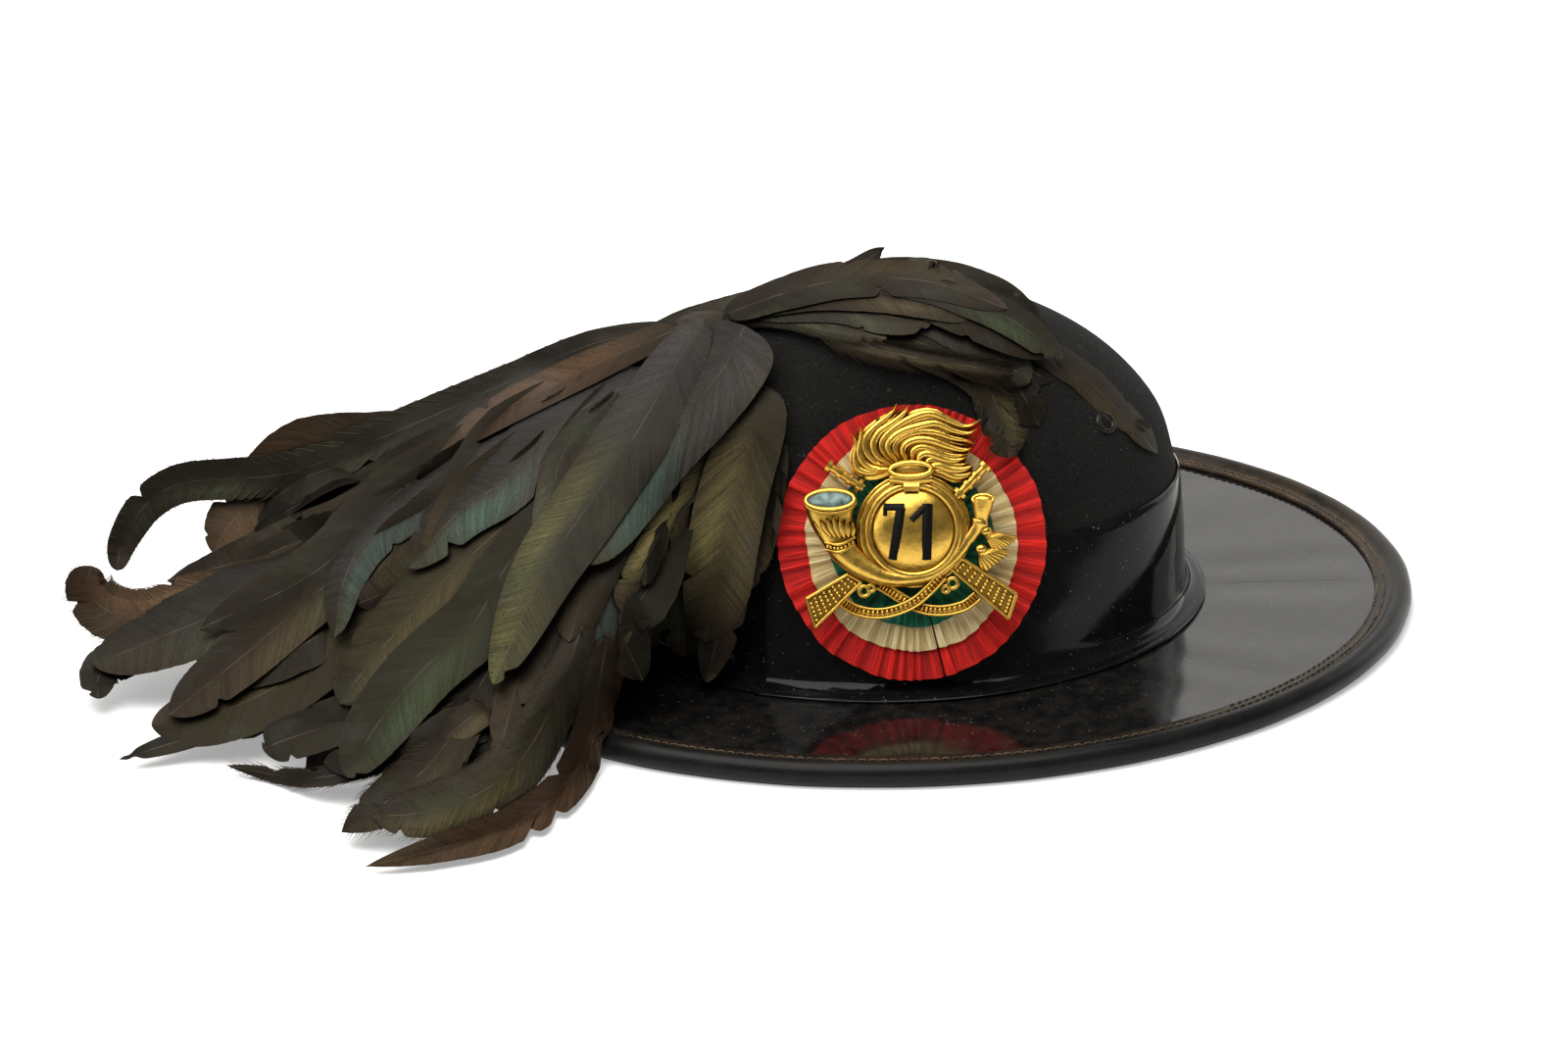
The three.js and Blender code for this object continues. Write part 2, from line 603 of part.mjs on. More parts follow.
// The room that the plume keeps clear of: crown, band, brim, cockade and floor
function plumeKeepOuts(cockadeGroup, vents) {
  const crownRoom = crownDome(PLUME_CLEARANCE, 0);
  const bandRoomWall = BAND_WALL + 2 * PLUME_CLEARANCE;
  const bandFoot = BRIM_TOP + BAND_WALL;
  const bandRoomTop = BAND_TOP + PLUME_CLEARANCE;
  const bandRoom = ovalTurning(
    [
      { height: 0, halfLength: 0, halfWidth: 0 },
      crownSection(CROWN_LEVELS[0].height, BAND_FOOT_WIDTH + bandRoomWall),
      crownSection(bandFoot + FOOT_CLEARANCE, BAND_FOOT_WIDTH + bandRoomWall),
      crownSection(bandFoot + BAND_FOOT_BEND + FOOT_CLEARANCE, bandRoomWall),
      crownSection(bandRoomTop, bandRoomWall),
      { height: bandRoomTop, halfLength: 0, halfWidth: 0 },
    ],
    CROWN_SIDES,
  );
  const edge = {
    forward: BRIM_FORWARD,
    halfLength: BRIM_HALF_LENGTH + EDGE_RADIUS + PLUME_CLEARANCE,
    halfWidth: BRIM_HALF_WIDTH + EDGE_RADIUS + PLUME_CLEARANCE,
  };
  const brimRoomTop = 2 * EDGE_RADIUS + PLUME_CLEARANCE;
  const brimRoom = ovalTurning(
    [
      { height: BRIM_ROOM_BOTTOM, halfLength: 0, halfWidth: 0 },
      { ...edge, height: BRIM_ROOM_BOTTOM },
      { ...edge, height: brimRoomTop },
      { height: brimRoomTop, halfLength: 0, halfWidth: 0 },
    ],
    BRIM_SIDES,
  );
  const reach = RIBBON_RINGS[0].outer + PLUME_CLEARANCE;
  const disc = new THREE.CylinderGeometry(reach, reach, COCKADE_ROOM.depth, COCKADE_ROOM.sides);
  disc.rotateX(Math.PI / 2);
  disc.applyMatrix4(cockadeGroup.matrixWorld);
  const floor = new THREE.BoxGeometry(FLOOR_ROOM.size, FLOOR_ROOM.size, FLOOR_ROOM.depth);
  floor.translate(0, 0, FLOOR_CLEARANCE - FLOOR_ROOM.depth / 2);
  const ventRooms = vents.map((vent) => {
    const room = new THREE.SphereGeometry(VENT.ring + PLUME_CLEARANCE, VENT_ROOM.sides, VENT_ROOM.rows);
    return solidOf(room.translate(...vent.point.toArray()));
  });
  return [crownRoom, bandRoom, brimRoom, solidOf(disc), solidOf(floor), ...ventRooms];
}

const hat = new THREE.Group();
const vents = [-1, 1].map((sideSign) => crownPoint(VENT_FORWARD, VENT_HEIGHT, sideSign));
hat.add(piece("crown", makeCrown(vents), felt));
hat.add(piece("vent_eyelet_right", makeVent(vents[0]), blackedMetal));
hat.add(piece("vent_eyelet_left", makeVent(vents[1]), blackedMetal));
hat.add(piece("hat_band", makeBand(), patentLeather));
hat.add(piece("brim", makeBrim(), patentLeather));
hat.add(piece("brim_edge", makeEdge(), edgeLeather));

const cockade = new THREE.Group();
cockade.position.set(COCKADE_CENTRE.forward, -COCKADE_CENTRE.side, COCKADE_CENTRE.height);
cockade.rotation.x = Math.PI / 2 - COCKADE_LEAN;
hat.add(cockade);
RIBBON_RINGS.forEach((ring, layer) => {
  const ribbon = new THREE.MeshStandardMaterial({ color: ring.colour, roughness: 0.8 });
  cockade.add(piece(ring.name, makeRibbonRing(ring, layer), ribbon));
});
cockade.add(piece("badge", makeBadge(), brass));

hat.updateMatrixWorld(true);
hat.add(piece("plume", makePlume(plumeKeepOuts(cockade, vents)), feather));

export default hat;
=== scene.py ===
"""The looks of a plumed rifleman's hat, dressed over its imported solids.

A black felt crown, a patent-leather band and brim with a rolled edge, a pleated ribbon cockade
with a brass badge, and a plume of cock feathers that falls to the floor.
Pieces are shaped in millimetres and scaled to metres when they are finished.
"""
import logging
import math
import random
from collections.abc import Callable, Sequence
from dataclasses import dataclass, field
from enum import Enum

import bmesh
import bpy
from mathutils import Matrix, Vector, noise
from mathutils.bvhtree import BVHTree


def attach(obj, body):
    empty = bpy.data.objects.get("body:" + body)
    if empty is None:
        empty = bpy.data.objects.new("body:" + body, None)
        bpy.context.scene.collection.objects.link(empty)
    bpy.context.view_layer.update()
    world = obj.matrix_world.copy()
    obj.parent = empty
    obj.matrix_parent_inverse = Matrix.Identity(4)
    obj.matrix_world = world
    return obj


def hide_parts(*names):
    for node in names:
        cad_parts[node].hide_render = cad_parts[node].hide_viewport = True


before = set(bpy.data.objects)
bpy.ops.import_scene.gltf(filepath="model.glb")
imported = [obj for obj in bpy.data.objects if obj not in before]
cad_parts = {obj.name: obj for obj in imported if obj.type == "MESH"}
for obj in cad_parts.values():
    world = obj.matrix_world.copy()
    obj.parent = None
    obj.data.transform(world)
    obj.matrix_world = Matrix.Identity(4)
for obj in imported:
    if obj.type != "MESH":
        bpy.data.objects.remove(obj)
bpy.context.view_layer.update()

MM = 0.001
WELD = 1e-4
SEED = 1836
TINT = "tint"
UP = Vector((0, 0, 1))

Pair = tuple[float, float]
Triple = tuple[float, float, float]
Colour = Triple
Pixel = Pair
Route = Sequence[Triple]
Place = Callable[[float, float], Vector]
Girth = Callable[[float], Pair]
Mesh = bmesh.types.BMesh
Material = bpy.types.Material
Socket = bpy.types.NodeSocket
log = logging.getLogger("hat")


def mix(low: float, high: float, share: float) -> float:
    """The value that lies a share of the way from low to high."""
    return low + (high - low) * share


def ease(low: float, high: float, value: float) -> float:
    """A smooth step from 0 at low to 1 at high."""
    share = min(1.0, max(0.0, (value - low) / (high - low)))
    return share * share * (3 - 2 * share)


def spline(points: Sequence[Vector], share: float) -> Vector:
    """A smooth curve through points.

    Args:
        points: the points that the curve passes, two or more.
        share: how far along the curve, from 0 to 1.

    Returns:
        The point of the curve.
    """
    last = len(points) - 1
    place = min(max(share, 0.0), 1.0) * last
    start = min(int(place), last - 1)
    t = place - start
    p1, p2 = points[start], points[start + 1]
    p0 = points[start - 1] if start > 0 else p1 * 2 - p2
    p3 = points[start + 2] if start + 2 <= last else p2 * 2 - p1
    bend = (p0 * 2 - p1 * 5 + p2 * 4 - p3) * (t * t) + (p1 * 3 - p0 - p2 * 3 + p3) * (t * t * t)
    return (p1 * 2 + (p2 - p0) * t + bend) * 0.5


def heading(points: Sequence[Vector], share: float, step: float) -> Vector:
    """The way that a smooth curve runs at a share, from a step before it to a step after it."""
    return spline(points, min(1.0, share + step)) - spline(points, max(0.0, share - step))


def there_and_back(share: float) -> float:
    """Rises from 0 to 1 over the first half of a share, then falls back to 0."""
    return share * 2 if share <= 0.5 else 2 - share * 2


def corners(*pairs: Pair) -> list[Vector]:
    """Corners of a section, from distances outwards and heights."""
    return [Vector((outward, 0, height)) for outward, height in pairs]


def tint_layer(bm: Mesh) -> bmesh.types.BMLayerItem:
    """The mesh's vertex colours, made where they are missing."""
    return bm.verts.layers.float_color.get(TINT) or bm.verts.layers.float_color.new(TINT)


def lay_sheet(
    bm: Mesh,
    across: int,
    along: int,
    place: Place,
    grain: Callable[[float, float], Pair] | None = None,
    tint: Callable[[float, float], Colour] | None = None,
) -> list[bmesh.types.BMVert]:
    """Adds a grid and moves each corner to its place; edges that meet are welded.

    Args:
        bm: the mesh that receives the grid.
        across: cells across, where the first share runs.
        along: cells along, where the second share runs.
        place: gives a corner's position from its two shares, each from 0 to 1.
        grain: gives a corner's UV from its shares, where the finish follows the surface.
        tint: gives a corner's colour from its shares, kept in the attribute "tint".

    Returns:
        The corners that are left after the weld.
    """
    uv = bm.loops.layers.uv.verify()
    tints = tint_layer(bm)
    verts = bmesh.ops.create_grid(bm, x_segments=across, y_segments=along, size=0.5)["verts"]
    shares = {vert: (vert.co.x + 0.5, vert.co.y + 0.5) for vert in verts}
    for face in {face for vert in verts for face in vert.link_faces}:
        face.smooth = True
        for loop in face.loops:
            loop[uv].uv = grain(*shares[loop.vert]) if grain else shares[loop.vert]
    for vert, (u, v) in shares.items():
        vert.co = place(u, v)
        if tint:
            vert[tints] = (*tint(u, v), 1.0)
    bmesh.ops.remove_doubles(bm, verts=verts, dist=WELD)
    return [vert for vert in verts if vert.is_valid]


def lay_bar(
    bm: Mesh,
    route: Sequence[Vector],
    size: Girth,
    facing: Vector,
    steps: int,
    sides: int = 8,
    crest: float = 1.0,
    colour: Colour | None = None,
) -> None:
    """Adds a bar with a closed round section along a smooth route.

    Args:
        bm: the mesh that receives the bar.
        route: points that the bar's middle passes.
        size: half width and half thickness at a share of the length.
        facing: the way that the bar's thickness points.
        steps: cells along the bar.
        sides: cells round the bar.
        crest: 1 for a round section, more for a sharper ridge.
        colour: its colour, kept in the attribute "tint".
    """
    def place(u: float, v: float) -> Vector:
        """A point of the bar's skin."""
        ahead = heading(route, v, 0.01).normalized()
        out = (facing - ahead * facing.dot(ahead)).normalized()
        width, thickness = size(v)
        turn = 2 * math.pi * u
        lift = math.copysign(abs(math.sin(turn)) ** crest, math.sin(turn))
        return spline(route, v) + ahead.cross(out) * (width * math.cos(turn)) + out * (thickness * lift)

    verts = lay_sheet(bm, sides, steps, place, tint=(lambda u, v: colour) if colour else None)
    rims = [edge for edge in {e for vert in verts for e in vert.link_edges} if edge.is_boundary]
    bmesh.ops.holes_fill(bm, edges=rims, sides=sides)


def ring_place(section: Sequence[Vector], oval: Callable[[float, float, float], Vector]) -> Place:
    """A place function for a closed section carried round an oval.

    Args:
        section: corners of the closed section, x outwards and z up.
        oval: gives the point at an angle for an outward distance and a height.

    Returns:
        The place function; its first share runs round the section, its second round the oval.
    """
    closed = [*section, section[0]]

    def place(u: float, v: float) -> Vector:
        """A point of the ring's skin."""
        stop = u * (len(closed) - 1)
        start = min(int(stop + WELD), len(closed) - 2)
        corner = closed[start].lerp(closed[start + 1], stop - start)
        return oval(2 * math.pi * v, corner.x, corner.z)

    return place


def put(name: str, data: bpy.types.ID) -> bpy.types.Object:
    """Puts data into the scene as an object."""
    made = bpy.data.objects.new(name, data)
    bpy.context.scene.collection.objects.link(made)
    return made


def put_mesh(name: str, bm: Mesh, material: Material) -> bpy.types.Object:
    """Puts a mesh into the scene as an object with a finish, and frees it."""
    mesh = bpy.data.meshes.new(name)
    bm.to_mesh(mesh)
    bm.free()
    mesh.materials.append(material)
    return put(name, mesh)


def finish_piece(
    name: str,
    bm: Mesh,
    material: Material,
    slot: str,
    nodes: Sequence[str] = (),
    crease: float = 50.0,
) -> bpy.types.Object:
    """Turns a mesh in millimetres into a finished piece of the hat.

    Args:
        name: the piece's name.
        bm: its closed mesh, which is freed here.
        material: its finish.
        slot: the record's material slot for the piece; not used.
        nodes: the solids that it stands for.
        crease: edges that bend more than this many degrees stay sharp.

    Returns:
        The object, at the origin.
    """
    bmesh.ops.recalc_face_normals(bm, faces=bm.faces)
    for edge in bm.edges:
        edge.smooth = edge.calc_face_angle(0.0) < math.radians(crease)
    bmesh.ops.scale(bm, vec=(MM, MM, MM), verts=bm.verts)
    piece = put_mesh(name, bm, material)
    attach(piece, "root")
    if nodes:
        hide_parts(*nodes)
    log.info("%s: %d faces", name, len(piece.data.polygons))
    return piece


class Wiring:
    """Wires the nodes of one procedural material."""

    def __init__(self, name: str) -> None:
        """Starts a material that holds one principled shader."""
        self.material = bpy.data.materials.new(name)
        self.material.use_nodes = True
        self.tree = self.material.node_tree
        self.shader = self.tree.nodes["Principled BSDF"]

    def node(self, kind: str, **settings: object) -> bpy.types.Node:
        """Adds a node and sets its properties."""
        made = self.tree.nodes.new(kind)
        for key, value in settings.items():
            setattr(made, key, value)
        return made

    def link(self, source: Socket, target: Socket) -> None:
        """Joins two sockets."""
        self.tree.links.new(source, target)

    def coordinates(self, kind: str = "Object", scale: Triple = (1, 1, 1)) -> Socket:
        """Coordinates of the piece, stretched by a scale."""
        mapping = self.node("ShaderNodeMapping")
        mapping.inputs["Scale"].default_value = scale
        self.link(self.node("ShaderNodeTexCoord").outputs[kind], mapping.inputs["Vector"])
        return mapping.outputs["Vector"]

    def grain(
        self, vector: Socket, scale: float, detail: float = 3.0, rough: float = 0.5
    ) -> Socket:
        """A noise value over the piece.

        Args:
            vector: the coordinates that it reads.
            scale: how fine the noise is.
            detail: how many finer layers it has.
            rough: how strong the finer layers are.

        Returns:
            The noise value.
        """
        made = self.node("ShaderNodeTexNoise")
        self.link(vector, made.inputs["Vector"])
        made.inputs["Scale"].default_value = scale
        made.inputs["Detail"].default_value = detail
        made.inputs["Roughness"].default_value = rough
        return made.outputs["Fac"]

    def shade(
        self, value: Socket, stops: Sequence[tuple[float, Colour]]
    ) -> Socket:
        """Colours along a value.

        Args:
            value: the value that is read.
            stops: positions and their colours, in order.

        Returns:
            The colour.
        """
        ramp = self.node("ShaderNodeValToRGB")
        self.link(value, ramp.inputs["Fac"])
        while len(ramp.color_ramp.elements) < len(stops):
            ramp.color_ramp.elements.new(0.5)
        for element, (position, colour) in zip(ramp.color_ramp.elements, stops):
            element.position = position
            element.color = (*colour, 1.0)
        return ramp.outputs["Color"]

    def blend(
        self, share: Socket, low: Socket, high: Socket | Colour,
        way: str = "MIX",
    ) -> Socket:
        """Mixes two colours by a share.

        Args:
            share: how much of the second colour there is.
            low: the first colour.
            high: the second colour, as a socket or a fixed colour.
            way: the blend type.

        Returns:
            The mixed colour.
        """
        made = self.node("ShaderNodeMix", data_type="RGBA", blend_type=way)
        self.link(share, made.inputs["Factor"])
        self.link(low, made.inputs["A"])
        if isinstance(high, tuple):
            made.inputs["B"].default_value = (*high, 1.0)
        else:
            self.link(high, made.inputs["B"])
        return made.outputs["Result"]

    def spread(
        self, value: Socket, low: float, high: float, to_low: float = 0.0, to_high: float = 1.0
    ) -> Socket:
        """A value taken from one range to another, held at the ends."""
        made = self.node("ShaderNodeMapRange")
        self.link(value, made.inputs["Value"])
        made.inputs["From Min"].default_value = low
        made.inputs["From Max"].default_value = high
        made.inputs["To Min"].default_value = to_low
        made.inputs["To Max"].default_value = to_high
        return made.outputs["Result"]

    def relief(
        self, height: Socket, depth: float, under: Socket | None = None
    ) -> Socket:
        """A bump of a depth in metres, over another bump where one is given."""
        made = self.node("ShaderNodeBump")
        made.inputs["Distance"].default_value = depth
        self.link(height, made.inputs["Height"])
        if under:
            self.link(under, made.inputs["Normal"])
        return made.outputs["Normal"]

    def figure(self, operation: str, *values: Socket | float) -> Socket:
        """Reckons with one or two values, each a socket or a fixed number."""
        made = self.node("ShaderNodeMath", operation=operation)
        for socket, value in zip(made.inputs, values):
            if isinstance(value, Socket):
                self.link(value, socket)
            else:
                socket.default_value = value
        return made.outputs[0]

    def tint(self, kind: str) -> Socket:
        """The colour kept at the mesh's corners, or its grey value."""
        return self.node("ShaderNodeAttribute", attribute_name=TINT).outputs[kind]

    def hollow(self, samples: int, distance: float) -> Socket:
        """How open the surface is, from 0 in a recess to 1, judged over a distance in metres."""
        made = self.node("ShaderNodeAmbientOcclusion", samples=samples)
        made.inputs["Distance"].default_value = distance
        return made.outputs["AO"]

    def set(self, **values: object) -> None:
        """Sets the shader's own sockets: a name's underscores stand for spaces."""
        for key, value in values.items():
            socket = self.shader.inputs[key.replace("_", " ")]
            if isinstance(value, Socket):
                self.link(value, socket)
            else:
                socket.default_value = (*value, 1.0) if isinstance(value, tuple) else value


@dataclass(frozen=True)
class FeltFinish:
    """Matte black wool felt with a tangle of fine fibres and a little lint."""

    dark: Colour = (0.0022, 0.0022, 0.0021)
    fibre: Colour = (0.0105, 0.0100, 0.0088)
    hair: Colour = (0.060, 0.058, 0.053)
    lint: Colour = (0.16, 0.155, 0.14)

    def material(self) -> Material:
        """The felt's material."""
        wiring = Wiring("wool felt")
        place = wiring.coordinates()
        tangle = wiring.grain(place, 900, 5, 0.7)
        patches = wiring.grain(place, 55, 2)
        wool = wiring.shade(tangle, [(0.38, self.dark), (0.68, self.fibre)])
        wool = wiring.blend(wiring.spread(patches, 0.45, 0.75, 0, 0.4), wool, self.fibre)
        for scale, share in ((150, 0.55), (260, 0.7)):
            curls = wiring.figure("PINGPONG", wiring.grain(place, scale, 2, 0.45), 0.25)
            wool = wiring.blend(wiring.spread(curls, 0.236, 0.25, 0.0, share), wool, self.hair)
        specks = wiring.spread(wiring.grain(place, 1500, 1), 0.76, 0.8)
        wiring.set(Base_Color=wiring.blend(specks, wool, self.lint), Roughness=0.96)
        wiring.set(Sheen_Weight=0.03, Sheen_Roughness=0.6, Specular_IOR_Level=0.12)
        wiring.set(Normal=wiring.relief(tangle, 0.0009))
        return wiring.material


@dataclass(frozen=True)
class PatentFinish:
    """Glossy black patent leather: nearly a mirror, gently uneven, with dust on it."""

    name: str = "patent leather"
    ground: Colour = (0.004, 0.004, 0.0045)
    dust: Colour = (0.2, 0.19, 0.17)
    ripple_depth: float = 0.00035
    dustiness: float = 0.705
    shine: float = 0.5
    haze: Colour = (0.008, 0.0075, 0.007)

    def material(self) -> Material:
        """The patent leather's material."""
        wiring = Wiring(self.name)
        place = wiring.coordinates()
        ripples = wiring.grain(place, 26, 2, 0.4)
        skin = wiring.grain(place, 420, 2)
        specks = wiring.spread(wiring.grain(place, 1100, 2), self.dustiness, self.dustiness + 0.05)
        film = wiring.spread(wiring.grain(place, 60, 4), 0.35, 0.7, 0.07, 0.17)
        tone = wiring.shade(wiring.grain(place, 150, 6, 0.7), [(0.4, self.ground), (0.7, self.haze)])
        wiring.set(Base_Color=wiring.blend(specks, tone, self.dust))
        wiring.set(Roughness=film, Specular_IOR_Level=self.shine)
        ground = wiring.relief(ripples, self.ripple_depth)
        wiring.set(Normal=wiring.relief(skin, 0.000008, ground))
        return wiring.material


@dataclass(frozen=True)
class EdgeFinish:
    """Satin black leather of the rolled edge, rubbed brown where it is worn."""

    ground: Colour = (0.006, 0.006, 0.006)
    grey: Colour = (0.012, 0.0115, 0.011)
    worn: Colour = (0.045, 0.029, 0.016)

    def material(self) -> Material:
        """The rolled edge's material."""
        wiring = Wiring("edge leather")
        place = wiring.coordinates()
        pores = wiring.grain(place, 1600, 3, 0.6)
        rubbed = wiring.grain(wiring.coordinates(scale=(1, 1, 2)), 90, 5, 0.65)
        share = wiring.figure("MULTIPLY", wiring.tint("Fac"), wiring.spread(rubbed, 0.32, 0.6))
        base = wiring.shade(rubbed, [(0.3, self.ground), (0.8, self.grey)])
        wiring.set(Base_Color=wiring.blend(share, base, self.worn))
        wiring.set(Roughness=wiring.spread(rubbed, 0.3, 0.7, 0.26, 0.40), Specular_IOR_Level=0.12)
        wiring.set(Normal=wiring.relief(pores, 0.00006))
        return wiring.material


@dataclass(frozen=True)
class RibbonFinish:
    """Ribbed ribbon, with fine ribs that run out from the cockade's middle, and painted shade in its folds
    and at the cut where its ends meet.
    """

    name: str
    colour: Colour
    shadow: Colour
    # painted shadow: the near-black colour of the cut where the ribbon's ends meet
    slit_shadow: Colour = (0.008, 0.002, 0.002)

    def material(self) -> Material:
        """The ribbon's material."""
        wiring = Wiring(self.name)
        place = wiring.coordinates("UV", (620, 2.5, 1))
        ribs = wiring.grain(place, 1, 2, 0.4)
        weave = wiring.grain(wiring.coordinates(), 2600, 2)
        fade = wiring.grain(wiring.coordinates(), 120, 4)
        folds = wiring.tint("Fac")
        cloth = wiring.shade(ribs, [(0.3, self.shadow), (0.62, self.colour)])
        # painted shade: the low parts of each pleat darken towards the shadow colour
        cloth = wiring.blend(wiring.spread(folds, 0.0, 0.55, 0.65, 0.0), cloth, self.shadow)
        cloth = wiring.blend(wiring.spread(fade, 0.5, 0.8, 0, 0.3), cloth, self.shadow)
        # painted shadow: the cut where the ends meet is filled with a near-black colour
        cloth = wiring.blend(wiring.spread(folds, -0.2, -0.05, 0.95, 0.0), cloth, self.slit_shadow)
        wiring.set(Base_Color=cloth, Roughness=0.78, Specular_IOR_Level=0.25)
        fine = wiring.relief(weave, 0.00006)
        wiring.set(Normal=wiring.relief(ribs, 0.00035, fine))
        return wiring.material


@dataclass(frozen=True)
class BrassFinish:
    """Bright cast brass, darkened by painted shade in its recesses and beside parts that stand near it."""

    bright: Colour = (0.70, 0.43, 0.075)
    middle: Colour = (0.42, 0.225, 0.032)
    deep: Colour = (0.06, 0.026, 0.004)

    def material(self) -> Material:
        """The brass's material."""
        wiring = Wiring("brass")
        place = wiring.coordinates()
        # painted shade: ambient occlusion darkens the brass in its recesses and beside near parts
        recess_shade = wiring.spread(wiring.hollow(8, 0.0022), 0.25, 0.8)
        metal = wiring.shade(recess_shade, [(0.0, self.deep), (0.45, self.middle), (1.0, self.bright)])
        wiring.set(Base_Color=metal, Metallic=1.0)
        wiring.set(Roughness=wiring.spread(wiring.grain(place, 320, 3), 0.3, 0.7, 0.24, 0.38))
        wiring.set(Normal=wiring.relief(wiring.grain(place, 520, 3), 0.00012))
        return wiring.material


@dataclass(frozen=True)
class FeatherFinish:
    """Dark cock feathers: fine barbs, a faint shaft, a painted green and bronze sheen and painted shade in
    their recesses.
    """

    shaft: Colour = (0.085, 0.064, 0.040)
    # the dark between barbs and of flecks, and also the painted shade in recesses
    gap: Colour = (0.004, 0.0034, 0.003)
    # painted sheen: colours laid over the feathers in random patches
    green: Colour = (0.040, 0.052, 0.028)
    violet: Colour = (0.036, 0.034, 0.040)
    shine: Colour = (1.0, 0.88, 0.62)

    def material(self) -> Material:
        """The feathers' material; a UV is millimetres across from the shaft and along the barbs."""
        wiring = Wiring("cock feather")
        barbs = wiring.grain(wiring.coordinates("UV", (0.05, 1.8, 1)), 1.0, 4, 0.65)
        clumps = wiring.grain(wiring.coordinates("UV", (0.03, 0.22, 1)), 1.0, 3, 0.6)
        flecks = wiring.grain(wiring.coordinates("UV", (0.7, 2.2, 1)), 1.0, 4, 0.7)
        green_sheen = wiring.grain(wiring.coordinates(), 48, 3, 0.6)
        cool = wiring.grain(wiring.coordinates("UV", (0.04, 0.05, 1)), 1.0, 3)
        # painted sheen: random green and violet patches stand in for the feathers' iridescent sheen
        vane = wiring.blend(wiring.spread(green_sheen, 0.54, 0.72, 0.0, 0.35), wiring.tint("Color"), self.green)
        vane = wiring.blend(wiring.spread(cool, 0.52, 0.72, 0.0, 0.35), vane, self.violet)
        vane = wiring.blend(wiring.spread(barbs, 0.34, 0.60, 0.62, 0.0), vane, self.gap)
        vane = wiring.blend(wiring.spread(clumps, 0.30, 0.52, 0.40, 0.0), vane, self.gap)
        vane = wiring.blend(wiring.spread(flecks, 0.34, 0.49, 0.75, 0.0), vane, self.gap)
        across = wiring.node("ShaderNodeSeparateXYZ")
        wiring.link(wiring.coordinates("UV"), across.inputs[0])
        on_shaft = wiring.spread(wiring.figure("ABSOLUTE", across.outputs["X"]), 0.10, 0.30, 0.55, 0.0)
        shown = wiring.figure("MULTIPLY", on_shaft, wiring.spread(cool, 0.42, 0.58))
        vane = wiring.blend(shown, vane, self.shaft)
        # painted shade: ambient occlusion darkens the vanes where other feathers lie close to them
        recess = wiring.spread(wiring.hollow(6, 0.020), 0.3, 0.92, 0.97, 0.0)
        shaded = wiring.blend(recess, vane, self.gap)
        wiring.set(Base_Color=shaded, Specular_IOR_Level=0.12, Specular_Tint=self.shine)
        wiring.set(Roughness=wiring.spread(barbs, 0.3, 0.7, 0.40, 0.55))
        wiring.set(Normal=wiring.relief(barbs, 0.00012))
        return wiring.material


@dataclass(frozen=True)
class PlainFinish:
    """One colour with a light mottle, for small parts and the floor."""

    name: str
    colour: Colour
    rough: float
    metal: float = 0.0
    mottle: float = 0.25
    mottle_scale: float = 700.0
    glow: float = 0.0
    shine: float = 0.5

    def material(self) -> Material:
        """The plain finish's material."""
        wiring = Wiring(self.name)
        value = wiring.grain(wiring.coordinates(), self.mottle_scale, 3)
        low = tuple(part * (1 - self.mottle) for part in self.colour)
        wiring.set(Base_Color=wiring.shade(value, [(0.35, low), (0.65, self.colour)]))
        wiring.set(Roughness=self.rough, Metallic=self.metal, Specular_IOR_Level=self.shine)
        wiring.set(Emission_Color=(1.0, 1.0, 1.0), Emission_Strength=self.glow)
        return wiring.material


